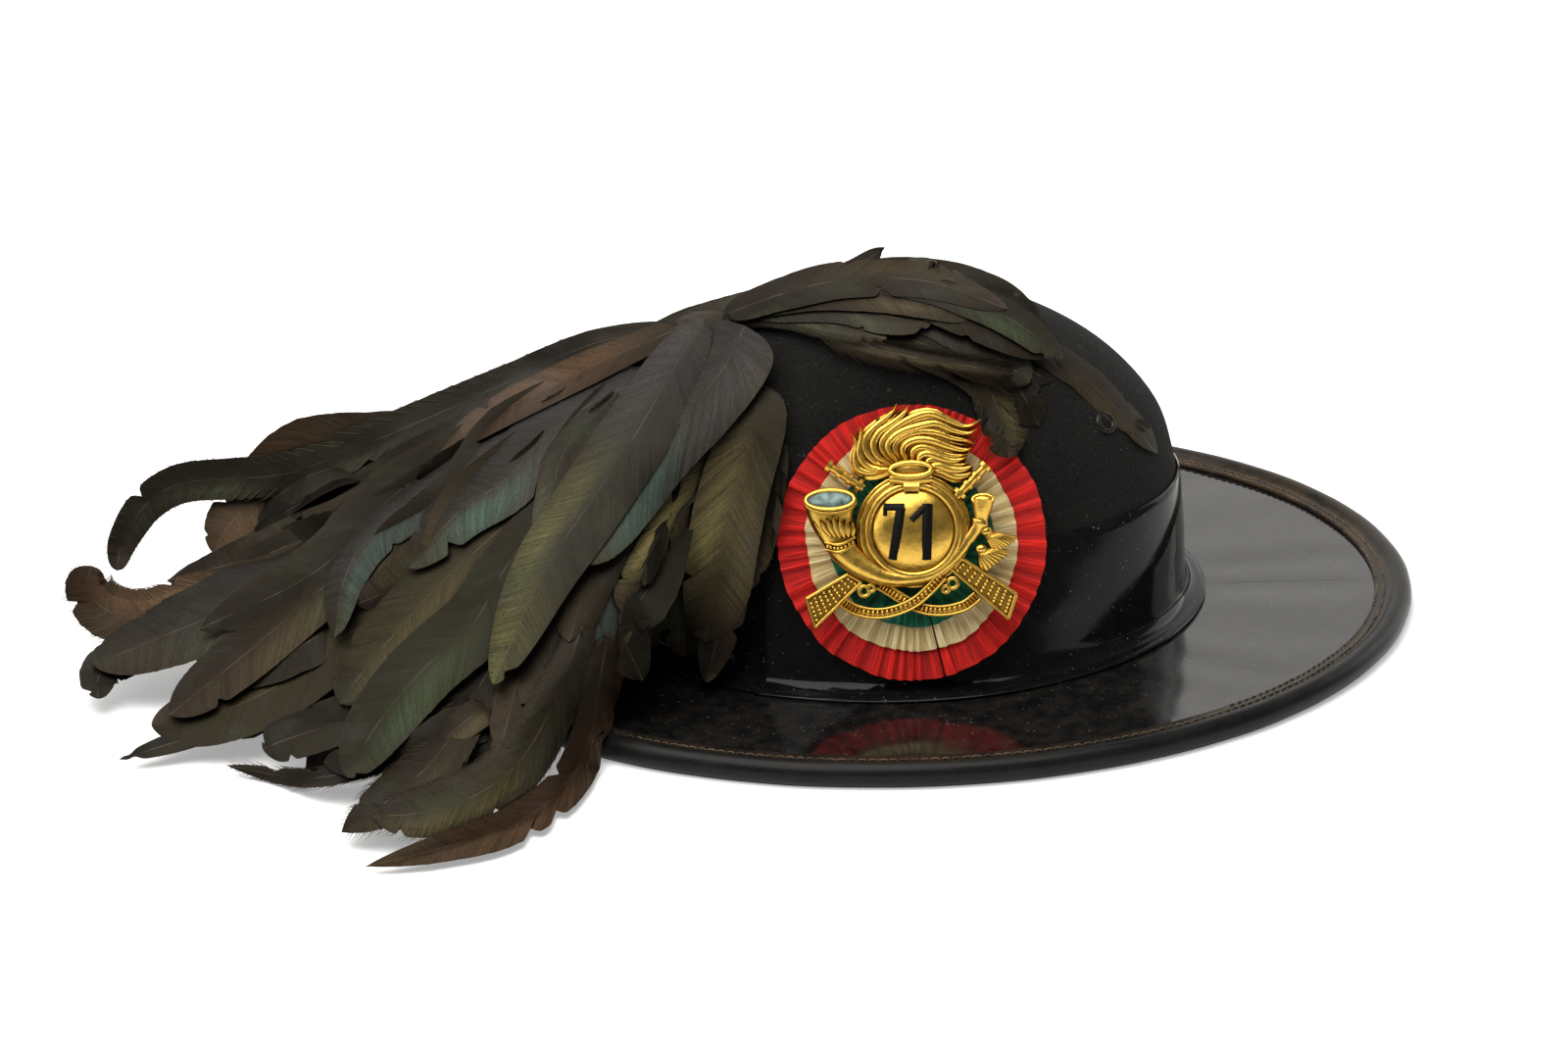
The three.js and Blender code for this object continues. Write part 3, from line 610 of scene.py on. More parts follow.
@dataclass
class Studio:
    """Camera at the photograph's angle, a pale floor and soft lights."""

    picture_width: float = 1600.0
    picture_height: float = 1068.0
    origin_pixel: Pixel = (916.7, 617.8)
    pixels_per_mm: float = 2.94
    distance: float = 1950.0
    elevation: float = math.radians(24.2)
    roll: float = math.radians(1.55)
    sensor: float = 36.0
    floor_size: float = 6.0
    floor_glow: float = 0.33
    sky: float = 0.17
    light_colour: Colour = (1.0, 0.98, 0.945)
    lights: tuple[tuple[str, Triple, Pair, float], ...] = (
        ("top box", (-0.35, -0.25, 1.7), (1.8, 1.8), 48), ("back wall", (0.25, 1.75, 0.85), (3.4, 1.5), 17),
        ("right box", (1.5, 0.95, 0.6), (0.9, 1.1), 6), ("left box", (-1.7, -0.5, 0.8), (1.0, 1.2), 9),
    )

    @property
    def focal_pixels(self) -> float:
        """The focal length in picture pixels."""
        return self.pixels_per_mm * self.distance

    @property
    def eye(self) -> Vector:
        """The camera's place in millimetres."""
        return Vector((0, -math.cos(self.elevation), math.sin(self.elevation))) * self.distance

    def axes(self) -> tuple[Vector, Vector, Vector]:
        """Right, up and forward of a camera that looks at the hat's origin, rolled as the photograph is."""
        forward = -self.eye.normalized()
        right = Vector((math.cos(self.roll), 0, 0)) + self.level_up() * -math.sin(self.roll)
        up = self.level_up() * math.cos(self.roll) + Vector((math.sin(self.roll), 0, 0))
        return right, up, forward

    def level_up(self) -> Vector:
        """The up direction of the camera before its roll."""
        return Vector((0, math.sin(self.elevation), math.cos(self.elevation)))

    def unproject(self, pixel_x: float, pixel_y: float, side: float) -> Vector:
        """Finds the point that a pixel shows at a given distance to the wearer's right.

        Args:
            pixel_x: pixels from the photograph's left edge.
            pixel_y: pixels from its top edge.
            side: millimetres to the wearer's right, where the point lies.

        Returns:
            The point in millimetres.
        """
        right, up, forward = self.axes()
        ray = forward * self.focal_pixels
        ray += right * (pixel_x - self.origin_pixel[0]) - up * (pixel_y - self.origin_pixel[1])
        return self.eye + ray * ((-side - self.eye.y) / ray.y)

    def place_camera(self) -> None:
        """Makes the camera and frames the hat as the photograph does."""
        right, up, forward = self.axes()
        shift_x = (self.picture_width / 2 - self.origin_pixel[0]) / self.focal_pixels
        shift_y = (self.picture_height / 2 - self.origin_pixel[1]) / self.focal_pixels
        aim = (forward + right * shift_x - up * shift_y).normalized()
        across = aim.cross(up).normalized()
        above = across.cross(aim)
        data = bpy.data.cameras.new("camera")
        data.sensor_width = self.sensor
        data.lens = self.focal_pixels / self.picture_width * self.sensor
        camera = put("camera", data)
        turn = Matrix((across, above, -aim)).transposed().to_4x4()
        camera.matrix_world = Matrix.Translation(self.eye * MM) @ turn
        bpy.context.scene.camera = camera

    def add_light(self, name: str, place: Triple, size: Pair, watts: float) -> None:
        """Adds a soft box that faces the hat.

        Args:
            name: the light's name.
            place: where it stands, in metres.
            size: its width and height in metres.
            watts: its power.
        """
        data = bpy.data.lights.new(name, "AREA")
        data.shape = "RECTANGLE"
        data.size, data.size_y = size
        data.energy = watts
        data.color = self.light_colour
        light = put(name, data)
        light.location = place
        light.rotation_mode = "QUATERNION"
        light.rotation_quaternion = (-Vector(place)).to_track_quat("-Z", "Y")

    def build(self) -> None:
        """Makes the camera, the floor, the lights and the sky."""
        self.place_camera()
        bm = bmesh.new()
        bmesh.ops.create_grid(bm, x_segments=1, y_segments=1, size=self.floor_size / 2)
        white = PlainFinish("white floor", (0.86, 0.86, 0.86), 0.9, mottle=0.0, glow=self.floor_glow)
        floor = put_mesh("floor", bm, white.material())
        for light in self.lights:
            self.add_light(*light)
        world = bpy.data.worlds.new("studio")
        world.use_nodes = True
        background = world.node_tree.nodes["Background"]
        background.inputs["Color"].default_value = (1, 1, 1, 1)
        background.inputs["Strength"].default_value = self.sky
        bpy.context.scene.world = world
        bpy.context.scene.view_settings.view_transform = "Standard"


@dataclass
class Crown:
    """The hollow felt crown and its vent eyelets."""

    levels: tuple[Triple, ...] = (
        (3, 97.8, 84.4), (28, 97.4, 77), (42, 96.6, 72.6), (55, 95.4, 68), (73, 90, 59.5),
        (91, 76, 48.5), (105, 56, 35.5), (115, 32, 20), (120, 0, 0),
    )
    wall: float = 2.5
    around: int = 160
    rows: int = 48
    unevenness: float = 0.5
    halvings: int = 12
    vent_height: float = 79
    vent_forward: float = 71
    vent_ring: float = 4.2
    vent_bore: float = 2.1
    vent_wall: float = 0.8
    vent_rim: float = 1.2
    vent_reach: float = 3.6

    def section(self, height: float) -> Pair:
        """Half length and half width of the outer face at a height."""
        for (low, long, wide), (high, next_long, next_wide) in zip(self.levels, self.levels[1:]):
            if height <= high:
                share = (height - low) / (high - low)
                return mix(long, next_long, share), mix(wide, next_wide, share)
        return 0.0, 0.0

    def climb(self, share: float) -> Vector:
        """Half length, half width and height, from the foot at 0 to the top at 1."""
        return spline([Vector((long, wide, height)) for height, long, wide in self.levels], share)

    def top_at(self, x: float, y: float) -> float:
        """Height of the crown's outer face above a point, or 0 outside its foot."""
        low, high = 0.0, self.levels[-1][0]
        if (x / self.levels[0][1]) ** 2 + (y / self.levels[0][2]) ** 2 >= 1:
            return 0.0
        for _ in range(self.halvings):
            middle = (low + high) / 2
            long, wide = self.section(middle)
            inside = long > 0 and (x / long) ** 2 + (y / wide) ** 2 < 1
            low, high = (middle, high) if inside else (low, middle)
        return low

    def outside(self, point: Vector, gap: float) -> Vector:
        """Moves a point out of the crown by the shorter way.

        Args:
            point: the point in millimetres.
            gap: the room that it keeps from the felt.

        Returns:
            The point, on or outside the crown's face grown by the gap.
        """
        long, wide = self.section(max(point.z - gap * 0.5, self.levels[0][0]))
        if long <= 0 or point.z < 0:
            return point
        reach = math.hypot(point.x / (long + gap), point.y / (wide + gap))
        if reach >= 1:
            return point
        rise = self.top_at(point.x, point.y) + gap - point.z
        spread = Vector((point.x, point.y, 0)) * (1 / max(reach, 0.05) - 1)
        return point + UP * rise if rise < spread.length else point + spread

    def build(self) -> None:
        """Makes the felt shell and both eyelets."""
        bm = bmesh.new()

        def place(u: float, v: float) -> Vector:
            """A point of the shell: up the outer face, then down the inner one."""
            outer = u <= 0.5
            turn = 2 * math.pi * v
            step = self.climb(there_and_back(u))
            inset = 0.0 if outer else self.wall
            long, wide = max(0.0, step.x - inset), max(0.0, step.y - inset)
            point = Vector((long * math.cos(turn), wide * math.sin(turn), step.z - inset * (step.z > 60)))
            dent = noise.noise(point * 0.035) * self.unevenness
            return point + Vector((point.x, point.y, 0)).normalized() * dent * ease(0, 20, long)

        lay_sheet(bm, self.rows * 2, self.around, place)
        finish_piece("crown", bm, FeltFinish().material(), "felt", ["crown"], 60)
        metal = PlainFinish("blacked brass eyelet", (0.03, 0.028, 0.026), 0.4, 0.9).material()
        for name, sign in (("vent_eyelet_right", -1), ("vent_eyelet_left", 1)):
            self.build_vent(name, sign, metal)

    def build_vent(self, name: str, sign: int, metal: Material) -> None:
        """Makes one eyelet, with a rolled rim on the felt.

        Args:
            name: the eyelet's node.
            sign: -1 on the wearer's right, 1 on the left.
            metal: its finish.
        """
        long, wide = self.section(self.vent_height)
        drop = math.sqrt(1 - (self.vent_forward / long) ** 2)
        middle = Vector((self.vent_forward, sign * wide * drop, self.vent_height))
        slope = (self.section(self.vent_height - 2)[1] - self.section(self.vent_height + 2)[1]) / 4
        out = Vector((self.vent_forward / long**2, sign * drop / wide, slope / wide)).normalized()
        side = out.cross(UP).normalized()
        rise = side.cross(out)
        bead = (self.vent_ring - self.vent_bore) / 2
        tube = self.vent_bore + self.vent_wall
        section = corners((self.vent_bore, -self.vent_reach), (tube, -self.vent_reach), (tube, 0.1))
        for step in range(7):
            turn = math.pi * (-0.1 + 1.1 * step / 6)
            across = self.vent_bore + bead + bead * math.cos(turn)
            section += corners((across, 0.2 + self.vent_rim * math.sin(turn)))

        def oval(turn: float, outward: float, height: float) -> Vector:
            """A point round the eyelet's axis."""
            return (middle + side * (outward * math.cos(turn)) + rise * (outward * math.sin(turn))
                    + out * height)

        bm = bmesh.new()
        lay_sheet(bm, len(section), 40, ring_place(section, oval))
        finish_piece(name, bm, metal, "blacked_metal", [name])


@dataclass
class Band:
    """The patent-leather band round the crown, with a foot turned out on to the brim."""

    crown: Crown
    brim_top: float = 5.4
    gap: float = 0.3
    wall: float = 1.4
    top: float = 50.5
    foot_width: float = 6.5
    bend: float = 4.5
    seam_turn: float = math.radians(243)
    seam_step: float = 0.7
    around: int = 360
    rises: int = 14

    def skin(self, turn: float, outward: float, height: float) -> Vector:
        """A point off the crown's face, with the lap of the band's seam and soft dents."""
        long, wide = self.crown.section(max(height, self.crown.levels[0][0]))
        past = (turn - self.seam_turn) % (2 * math.pi)
        lap = self.seam_step * math.exp(-past / 0.12) if outward > self.gap + 0.5 else 0.0
        dent = noise.noise(Vector((math.cos(turn) * 3.4, math.sin(turn) * 3.4, height * 0.045))) * 0.32
        grow = outward + lap + (dent if outward > self.gap + 0.5 else 0.0)
        return Vector(((long + grow) * math.cos(turn), (wide + grow) * math.sin(turn), height))

    def build(self) -> None:
        """Makes the band as one closed section carried round the crown."""
        inner, outer = self.gap, self.gap + self.wall
        low = self.brim_top + self.gap
        foot = low + self.wall
        end = outer + self.foot_width
        section = corners((inner, low), (end, low), (end + 0.3, low + self.wall * 0.5),
                          (end - 0.3, foot - 0.2))
        for step in range(7):
            turn = math.pi / 2 * step / 6
            across, climb = self.bend * (1 - math.sin(turn)), self.bend * (1 - math.cos(turn))
            section += corners((outer + across, foot + climb))
        for step in range(1, self.rises + 1):
            section += corners((outer, mix(foot + self.bend, self.top - 0.6, step / self.rises)))
        section += corners((mix(inner, outer, 0.6), self.top))
        for step in range(7):
            section += corners((inner, mix(self.top - 0.4, low + 1, step / 6)))
        bm = bmesh.new()
        lay_sheet(bm, len(section), self.around, ring_place(section, self.skin))
        material = PatentFinish("patent leather band", ripple_depth=0.00012, shine=0.13).material()
        finish_piece("hat_band", bm, material, "patent_leather", ["hat_band"], 40)


@dataclass
class Brim:
    """The flat oval brim, its rolled leather edge and the stitches that hold it."""

    crown: Crown
    half_length: float = 170
    half_width: float = 142
    forward: float = 3
    bottom: float = 2.8
    top: float = 5.4
    bead: float = 4.2
    flat_foot: float = 1.6
    strip_reach: float = 8.5
    strip_wall: float = 1.1
    grip: float = 2.2
    gap: float = 0.3
    around: int = 288
    rings: int = 22
    creases: int = 23
    crease_depth: float = 0.10
    stitch_rows: tuple[float, ...] = (-5.3, -7.9)
    stitch_pitch: float = 3.1
    stitch_half: Pair = (0.3, 0.24)
    inner_row_from: float = math.radians(-50)
    inner_row_to: float = math.radians(180)

    def oval(self, turn: float, outward: float, height: float) -> Vector:
        """A point on the brim's oval, at a distance outwards from its edge line."""
        x = self.forward + (self.half_length + outward) * math.cos(turn)
        return Vector((x, (self.half_width + outward) * math.sin(turn), height))

    def build(self) -> None:
        """Makes the plate, the rolled edge and its stitches."""
        self.build_plate()
        self.build_edge()
        self.build_stitches()

    def build_plate(self) -> None:
        """Makes the patent-leather plate with soft creases that run out from the band."""
        long, wide = self.crown.section(self.crown.levels[0][0])

        def place(u: float, v: float) -> Vector:
            """A point of the plate: out along the top, then back below."""
            turn = 2 * math.pi * v
            upper = u <= 0.5
            share = there_and_back(u)
            edge = self.oval(turn, -self.grip - self.gap, 0)
            hole = Vector(((long + self.gap) * math.cos(turn), (wide + self.gap) * math.sin(turn), 0))
            point = hole.lerp(edge, share)
            phase = 3 * noise.noise(Vector((turn * 2, 0, 0)))
            crease = math.sin(turn * self.creases + phase) * self.crease_depth
            wave = noise.noise(point * 0.02) * 0.28 + crease * ease(0.0, 0.3, share) * ease(1.0, 0.7, share)
            fade = ease(1.0, 0.85, share)
            return point + UP * ((self.top if upper else self.bottom) + (wave * fade if upper else 0))

        bm = bmesh.new()
        lay_sheet(bm, self.rings * 2, self.around, place)
        material = PatentFinish("patent leather brim", haze=(0.016, 0.014, 0.0115)).material()
        finish_piece("brim", bm, material, "patent_leather", ["brim"], 40)

    def build_edge(self) -> None:
        """Makes the rolled edge: a round bead and a strip above and below that grips the plate."""
        grip_top = self.top + self.gap
        grip_bottom = self.bottom - self.gap
        reach, wall = -self.strip_reach, self.strip_wall
        section = corners((reach, grip_top), (reach, grip_top + 0.7), (reach + 0.5, grip_top + wall),
                          (-self.bead - 0.6, grip_top + wall * 0.8))
        for step in range(15):
            turn = math.radians(mix(142, -68, step / 14))
            section += corners((self.bead * math.cos(turn), self.bead * (1 + math.sin(turn))))
        section += corners((self.flat_foot, 0), (-self.flat_foot, 0), (-self.bead, grip_bottom - wall),
                           (reach, grip_bottom - wall), (reach, grip_bottom),
                           (-self.grip, grip_bottom), (-self.grip, grip_top))

        def wobbly(turn: float, outward: float, height: float) -> Vector:
            """The oval with the small unevenness of rolled leather."""
            sway = noise.noise(Vector((math.cos(turn) * 7, math.sin(turn) * 7, 0))) * 0.35
            return self.oval(turn, outward + (sway if outward > -self.bead else 0), height)

        def wear(u: float, v: float) -> Colour:
            """How worn the leather is: most on the strip and round the far side."""
            corner = int(u * len(section) + 0.5) % len(section)
            far = ease(-0.25, 0.3, math.sin(2 * math.pi * v))
            share = mix(0.35, 1.0, far) if corner <= 4 else far * 0.55 * (corner < 14)
            return share, share, share

        bm = bmesh.new()
        lay_sheet(bm, len(section), self.around, ring_place(section, wobbly), tint=wear)
        finish_piece("brim_edge", bm, EdgeFinish().material(), "edge_leather", ["brim_edge"], 55)

    def build_stitches(self) -> None:
        """Lays short tan stitches end to end in rows along the strip."""
        chance = random.Random(SEED)
        height = self.top + self.gap + self.strip_wall * 0.9
        bm = bmesh.new()
        for row in self.stitch_rows:
            girth = math.pi * (self.half_length + self.half_width + 2 * row)
            count = round(girth / self.stitch_pitch)
            for number in range(count):
                turn = 2 * math.pi * number / count
                past = (turn - self.inner_row_from) % (2 * math.pi)
                if row == self.stitch_rows[1] and past > self.inner_row_to - self.inner_row_from:
                    continue
                half = 0.4 * 2 * math.pi / count * chance.uniform(0.8, 1.12)
                lean = chance.uniform(-0.22, 0.22)
                stops = ((turn - half, row - lean, -0.15), (turn, row, 0.25),
                         (turn + half, row + lean, -0.15))
                ends = [self.oval(at, across, height + rise) for at, across, rise in stops]
                lay_bar(bm, ends, lambda v: self.stitch_half, UP, 3, 6)
        thread = PlainFinish("tan thread", (0.135, 0.092, 0.045), 0.85, 0.0, 0.75, 200).material()
        finish_piece("brim_stitches", bm, thread, "edge_leather")


@dataclass
class Cockade:
    """Three pleated ribbon rings, one on another, leaning back with the crown's side."""

    lean: float = math.radians(21)
    centre: Vector = field(default_factory=lambda: Vector((5, -70, 55.5)))
    bend_radius: float = 300
    pleats: int = 50
    pleat_depth: float = 1.35
    ribbon: float = 0.8
    layer_step: float = 1.3
    gap: float = 0.3
    slit_turn: float = math.radians(-77)
    slit_share: float = 0.0042
    slit_depth: float = -0.25
    sag: float = 2.2
    around: int = 552
    rings: tuple[tuple[str, str, float, float, Colour, Colour], ...] = (
        ("cockade_red", "red_ribbon", 44.6, 13, (0.80, 0.018, 0.012), (0.24, 0.006, 0.005)),
        ("cockade_white", "white_ribbon", 35, 11, (0.84, 0.71, 0.40), (0.38, 0.25, 0.08)),
        ("cockade_green", "green_ribbon", 27, 9, (0.014, 0.190, 0.095), (0.004, 0.045, 0.026)),
    )

    def __post_init__(self) -> None:
        """Works out the cockade's own directions and its uneven pleats."""
        self.right = Vector((1, 0, 0))
        self.up = Vector((0, math.sin(self.lean), math.cos(self.lean)))
        self.out = Vector((0, -math.cos(self.lean), math.sin(self.lean)))
        chance = random.Random(SEED)
        widths = [chance.uniform(0.4, 1.9) for _ in range(self.pleats)]
        total = sum(widths)
        self.folds = [sum(widths[:n]) / total for n in range(self.pleats)] + [1.0]
        self.heights = [chance.uniform(0.55, 1.0) for _ in range(self.pleats)]

    def at(self, right: float, up: float, out: float) -> Vector:
        """A point from distances right, up and out of the cockade's centre."""
        return self.off(self.centre, right, up, out)

    def off(self, point: Vector, right: float, up: float, out: float) -> Vector:
        """A point from distances right, up and out of another point."""
        return point + self.right * right + self.up * up + self.out * out

    def local(self, point: Vector) -> Vector:
        """Distances right, up and out of the cockade's centre for a point."""
        away = point - self.centre
        return Vector((away.dot(self.right), away.dot(self.up), away.dot(self.out)))

    def pleat(self, turn: float) -> float:
        """Height of the pleats at an angle: a slow rise, then a quick fall, from 0 to 1."""
        share = (turn - self.slit_turn) / (2 * math.pi) % 1.0
        if share > 1 - self.slit_share:
            return self.slit_depth
        number = max(n for n in range(self.pleats) if self.folds[n] <= share)
        inside = (share - self.folds[number]) / (self.folds[number + 1] - self.folds[number])
        rise = ease(0.0, 0.72, inside) if inside < 0.72 else ease(1.0, 0.72, inside)
        lap = 0.55 * math.exp(-share * 26)
        return rise * self.heights[number] + lap

    def outside(self, point: Vector, gap: float) -> Vector:
        """Moves a point off the cockade's front where it would cut into it."""
        place = self.local(point)
        if math.hypot(place.x, place.y) < self.rings[0][2] + 1 and -12 < place.z < gap:
            return point + self.out * (gap - place.z)
        return point

    def build(self) -> None:
        """Makes the three ribbon rings."""
        widest = self.rings[0][2]
        turns = [self.pleat(2 * math.pi * step / self.around) for step in range(self.around + 1)]
        for layer, (name, slot, outer, inner, colour, shadow) in enumerate(self.rings):
            back = self.gap + layer * self.layer_step

            def place(u: float, v: float) -> Vector:
                """A point of the ring: out along the front, then back behind it."""
                front = u <= 0.5
                share = there_and_back(u)
                turn = 2 * math.pi * v
                fold = turns[round(v * self.around)]
                ragged = noise.noise(Vector((math.cos(turn) * 3, math.sin(turn) * 3, layer * 9))) * 0.9
                ragged += (fold - 0.5) * 0.3
                ragged += self.sag * max(0.0, -math.sin(turn)) ** 2
                radius = mix(inner, outer + ragged, share)
                lift = back + (self.ribbon if front else 0) + self.pleat_depth * fold * radius / widest
                lift -= (radius * math.cos(turn)) ** 2 / (2 * self.bend_radius)
                return self.at(radius * math.cos(turn), radius * math.sin(turn), lift)

            def fold_shade(u: float, v: float) -> Colour:
                """How far out of the folds a point stands, which the ribbon's finish turns into painted shade
                in its folds and a painted shadow at the cut where its ends meet.
                """
                fold = turns[round(v * self.around)]
                return fold, fold, fold

            bm = bmesh.new()
            lay_sheet(bm, 20, self.around, place, lambda u, v: (v, abs(u - 0.5) * 2), fold_shade)
            material = RibbonFinish(name + " ribbon", colour, shadow).material()
            finish_piece(name, bm, material, slot, [name], 70)


@dataclass
class Badge:
    """The cast brass badge: a flaming grenade over a horn and crossed carbines.

    Its parts are placed on the cockade by pixels of the photograph, right and down from its corner;
    their sizes are in millimetres.
    """

    studio: Studio
    cockade: Cockade
    back: float = 5.1
    boss: Pixel = (932, 541)
    boss_half: Triple = (15.2, 15.2, 6.8)
    coils: tuple[Triple, ...] = ((14.9, 1.5, 3.3), (16.9, 1.4, 2.6), (18.4, 0.8, 2.0))
    neck: Pixel = (929.5, 479)
    neck_half: Pair = (6.7, 2.3)
    collar: tuple[Pixel, Pixel] = ((922, 496), (938, 496))
    horn: tuple[Triple, ...] = (
        (846, 511, 8.5), (849, 530, 7.2), (855, 550, 5.3), (862, 563, 4.6), (878, 577, 4.1), (900, 588, 3.3),
        (922, 591, 2.6), (948, 587, 2.3), (966, 576, 2.1), (980, 562, 1.95), (990, 546, 1.8),
    )
    horn_lift: float = 2.6
    mouth: Pixel = (847, 509.5)
    mouth_half: Pair = (8.0, 3.1)
    mouth_lean: float = -0.5
    flames: tuple[tuple[Pixel, ...], ...] = (
        ((903, 479), (889, 482), (876, 478), (873, 465), (874, 453), (868, 442)),
        ((907, 478), (891, 478), (880, 470), (877, 458), (879, 446), (877, 435)),
        ((908, 476), (893, 471), (883, 459), (885, 444), (897, 432), (908, 423), (915, 412)),
        ((910, 475), (897, 467), (891, 455), (897, 441), (910, 432), (922, 422), (927, 413)),
        ((914, 474), (903, 464), (899, 453), (907, 441), (923, 431), (940, 422), (956, 423), (972, 431),
         (988, 435), (1001, 428)),
        ((917, 472), (907, 461), (907, 451), (919, 441), (937, 435), (955, 432), (972, 439), (987, 442),
         (997, 438)),
        ((921, 471), (913, 460), (916, 449), (931, 442), (950, 440), (968, 446), (984, 449), (995, 453)),
        ((925, 470), (921, 460), (927, 451), (943, 448), (958, 452), (972, 457), (984, 459), (991, 457)),
        ((931, 470), (931, 461), (939, 456), (952, 459), (965, 464), (978, 465), (989, 462)),
        ((937, 471), (939, 465), (948, 463), (962, 468), (975, 470), (986, 466)),
        ((943, 474), (950, 469), (964, 473), (978, 475), (987, 472)),
        ((947, 476), (958, 475), (970, 479), (983, 479), (993, 474)),
        ((950, 479), (962, 481), (974, 486), (986, 485), (993, 480)),
    )
    flame_half: float = 1.45
    barrels: tuple[tuple[Pixel, Pixel], ...] = (((844, 474), (881, 498)), ((1007, 474), (976, 507)))
    butts: tuple[tuple[Pixel, Pixel, Pixel, Pixel], ...] = (
        ((865, 586), (879, 594), (832, 640), (823, 611)), ((982, 570), (970, 580), (1029, 631), (1037, 606)))
    cords: tuple[tuple[Pixel, ...], ...] = (
        ((997, 608), (984, 618), (962, 623), (942, 621), (926, 614), (910, 604), (897, 596)),
        ((860, 614), (873, 622), (893, 626), (914, 623), (934, 614), (950, 600), (962, 587)))
    cord_half: float = 1.5
    cord_ribs: int = 26
    scrolls: tuple[Pixel, ...] = ((882, 603), (972, 595), (889, 600), (965, 601))
    cup: tuple[Triple, ...] = (
        (988, 551, 1.8), (996, 540, 2.1), (1000, 533, 2.9), (1001, 530, 2.2), (1002, 520, 3.1),
        (1003, 509, 3.9))
    tassels: tuple[tuple[Pixel, Pixel, Pixel], ...] = (
        ((1003, 541), (1036, 550), (1016, 563)), ((998, 559), (1028, 564), (1003, 584)))
    digits: tuple[tuple[Pixel, Pixel, float], ...] = (
        ((902, 518), (923, 518), 1.45), ((920, 518), (912, 571), 1.85), ((903.5, 517), (903.5, 526), 0.8),
        ((946, 514), (944.5, 571), 1.9), ((945, 516), (930, 531), 1.1))

    def at(self, pixel: Pixel, out: float) -> Vector:
        """The point that a pixel shows at a height over the badge's flat back."""
        ray = self.studio.unproject(*pixel, 0.0) - self.studio.eye
        face = self.cockade.at(0, 0, self.back + out) - self.studio.eye
        return self.studio.eye + ray * (face.dot(self.cockade.out) / ray.dot(self.cockade.out))

    def bar(
        self, bm: Mesh, route: Route, size: Girth,
        steps: int, sides: int = 8, crest: float = 1.0,
    ) -> None:
        """Adds a bar along a route of pixels and heights.

        Args:
            bm: the mesh that receives the bar.
            route: pixels right and down, and the height, that its middle passes.
            size: half width and half thickness at a share of the length.
            steps: cells along the bar.
            sides: cells round the bar.
            crest: 1 for a round section, more for a sharper ridge.
        """
        stops = [self.at((right, down), out) for right, down, out in route]
        lay_bar(bm, stops, size, self.cockade.out, steps, sides, crest)

    def loop(
        self, bm: Mesh, middle: Pixel, out: float, half: Pair, tube: float,
        around: int = 64, lean: float = 0.0,
    ) -> None:
        """Adds a closed round ring.

        Args:
            bm: the mesh that receives the ring.
            middle: the pixel of its middle.
            out: the height of its middle.
            half: its half width and half height.
            tube: the radius of its wire.
            around: cells round it.
            lean: how far its upper side leans out, as a share of the height.
        """
        centre = self.at(middle, out)
        turns = [2 * math.pi * step / 12 for step in range(12)]
        section = corners(*((tube * math.cos(turn), tube * math.sin(turn)) for turn in turns))

        def oval(turn: float, outward: float, height: float) -> Vector:
            """A point of the ring's skin."""
            right, up = (half[0] + outward) * math.cos(turn), (half[1] + outward) * math.sin(turn)
            return self.cockade.off(centre, right, up, height + up * lean)

        lay_sheet(bm, len(section), around, ring_place(section, oval))

    def dome(
        self, bm: Mesh, middle: Pixel, out: float, half: Triple,
        around: int = 48, rows: int = 16, lean: float = 0.0,
    ) -> None:
        """Adds a closed ball, stretched to half sizes right, up and out.

        Args:
            bm: the mesh that receives the ball.
            middle: the pixel of its middle.
            out: the height of its middle.
            half: its half sizes.
            around: cells round it.
            rows: cells from its back to its front.
            lean: how far its upper side leans out, as a share of the height.
        """
        centre = self.at(middle, out)

        def place(u: float, v: float) -> Vector:
            """A point of the ball's skin."""
            turn, climb = 2 * math.pi * v, math.pi * (u - 0.5)
            right, up = half[0] * math.cos(climb) * math.cos(turn), half[1] * math.cos(climb) * math.sin(turn)
            forward = half[2] * math.sin(climb) + up * lean
            return self.cockade.off(centre, right, up, forward)

        lay_sheet(bm, rows, around, place)

    def build(self) -> None:
        """Makes the casting, the numerals on its boss and the inlay of the horn's mouth."""
        bm = bmesh.new()
        self.add_flames(bm)
        self.add_carbines(bm)
        self.add_cords(bm)
        self.add_horn(bm)
        self.add_boss(bm)
        self.add_right_side(bm)
        finish_piece("badge", bm, BrassFinish().material(), "brass", ["badge"], 65)
        self.build_numerals()
        self.build_inlay()

    def add_flames(self, bm: Mesh) -> None:
        """Adds the mane of flames: a ridge along each, a lower one between two, and a web under them."""
        curves = [[Vector((*pixel, 0)) for pixel in flame] for flame in self.flames]
        shares = [step / 8 for step in range(9)]
        for number, curve in enumerate(curves):
            self.add_flame(bm, [spline(curve, share) for share in shares], 2.5 + 0.5 * (number % 2), 1.0)
        for left, right in zip(curves, curves[1:]):
            between = [spline(left, share).lerp(spline(right, share), 0.5) for share in shares]
            self.add_flame(bm, between, 1.9, 0.75)

    def add_flame(self, bm: Mesh, curve: Sequence[Vector], lift: float, share: float) -> None:
        """Adds one flame.

        Args:
            bm: the mesh that receives it.
            curve: pixels that it passes, from the neck to its tip.
            lift: the height of its middle.
            share: its size beside a full one.
        """
        half = self.flame_half * share
        ridge = [(stop.x, stop.y, lift - 0.9 * number / len(curve)) for number, stop in enumerate(curve)]
        web = [(stop.x, stop.y, 1.1) for stop in curve]

        def ridge_half(v: float) -> Pair:
            """Half width and half thickness of the ridge."""
            return half * math.sin(math.pi * (0.2 + 0.77 * v)) ** 0.8, 1.7 - 0.9 * v

        self.bar(bm, ridge, ridge_half, 26, 8, 1.3)
        self.bar(bm, web, lambda v: (half * 1.7 * (1.02 - v**2.5), 0.7), 20, 6)

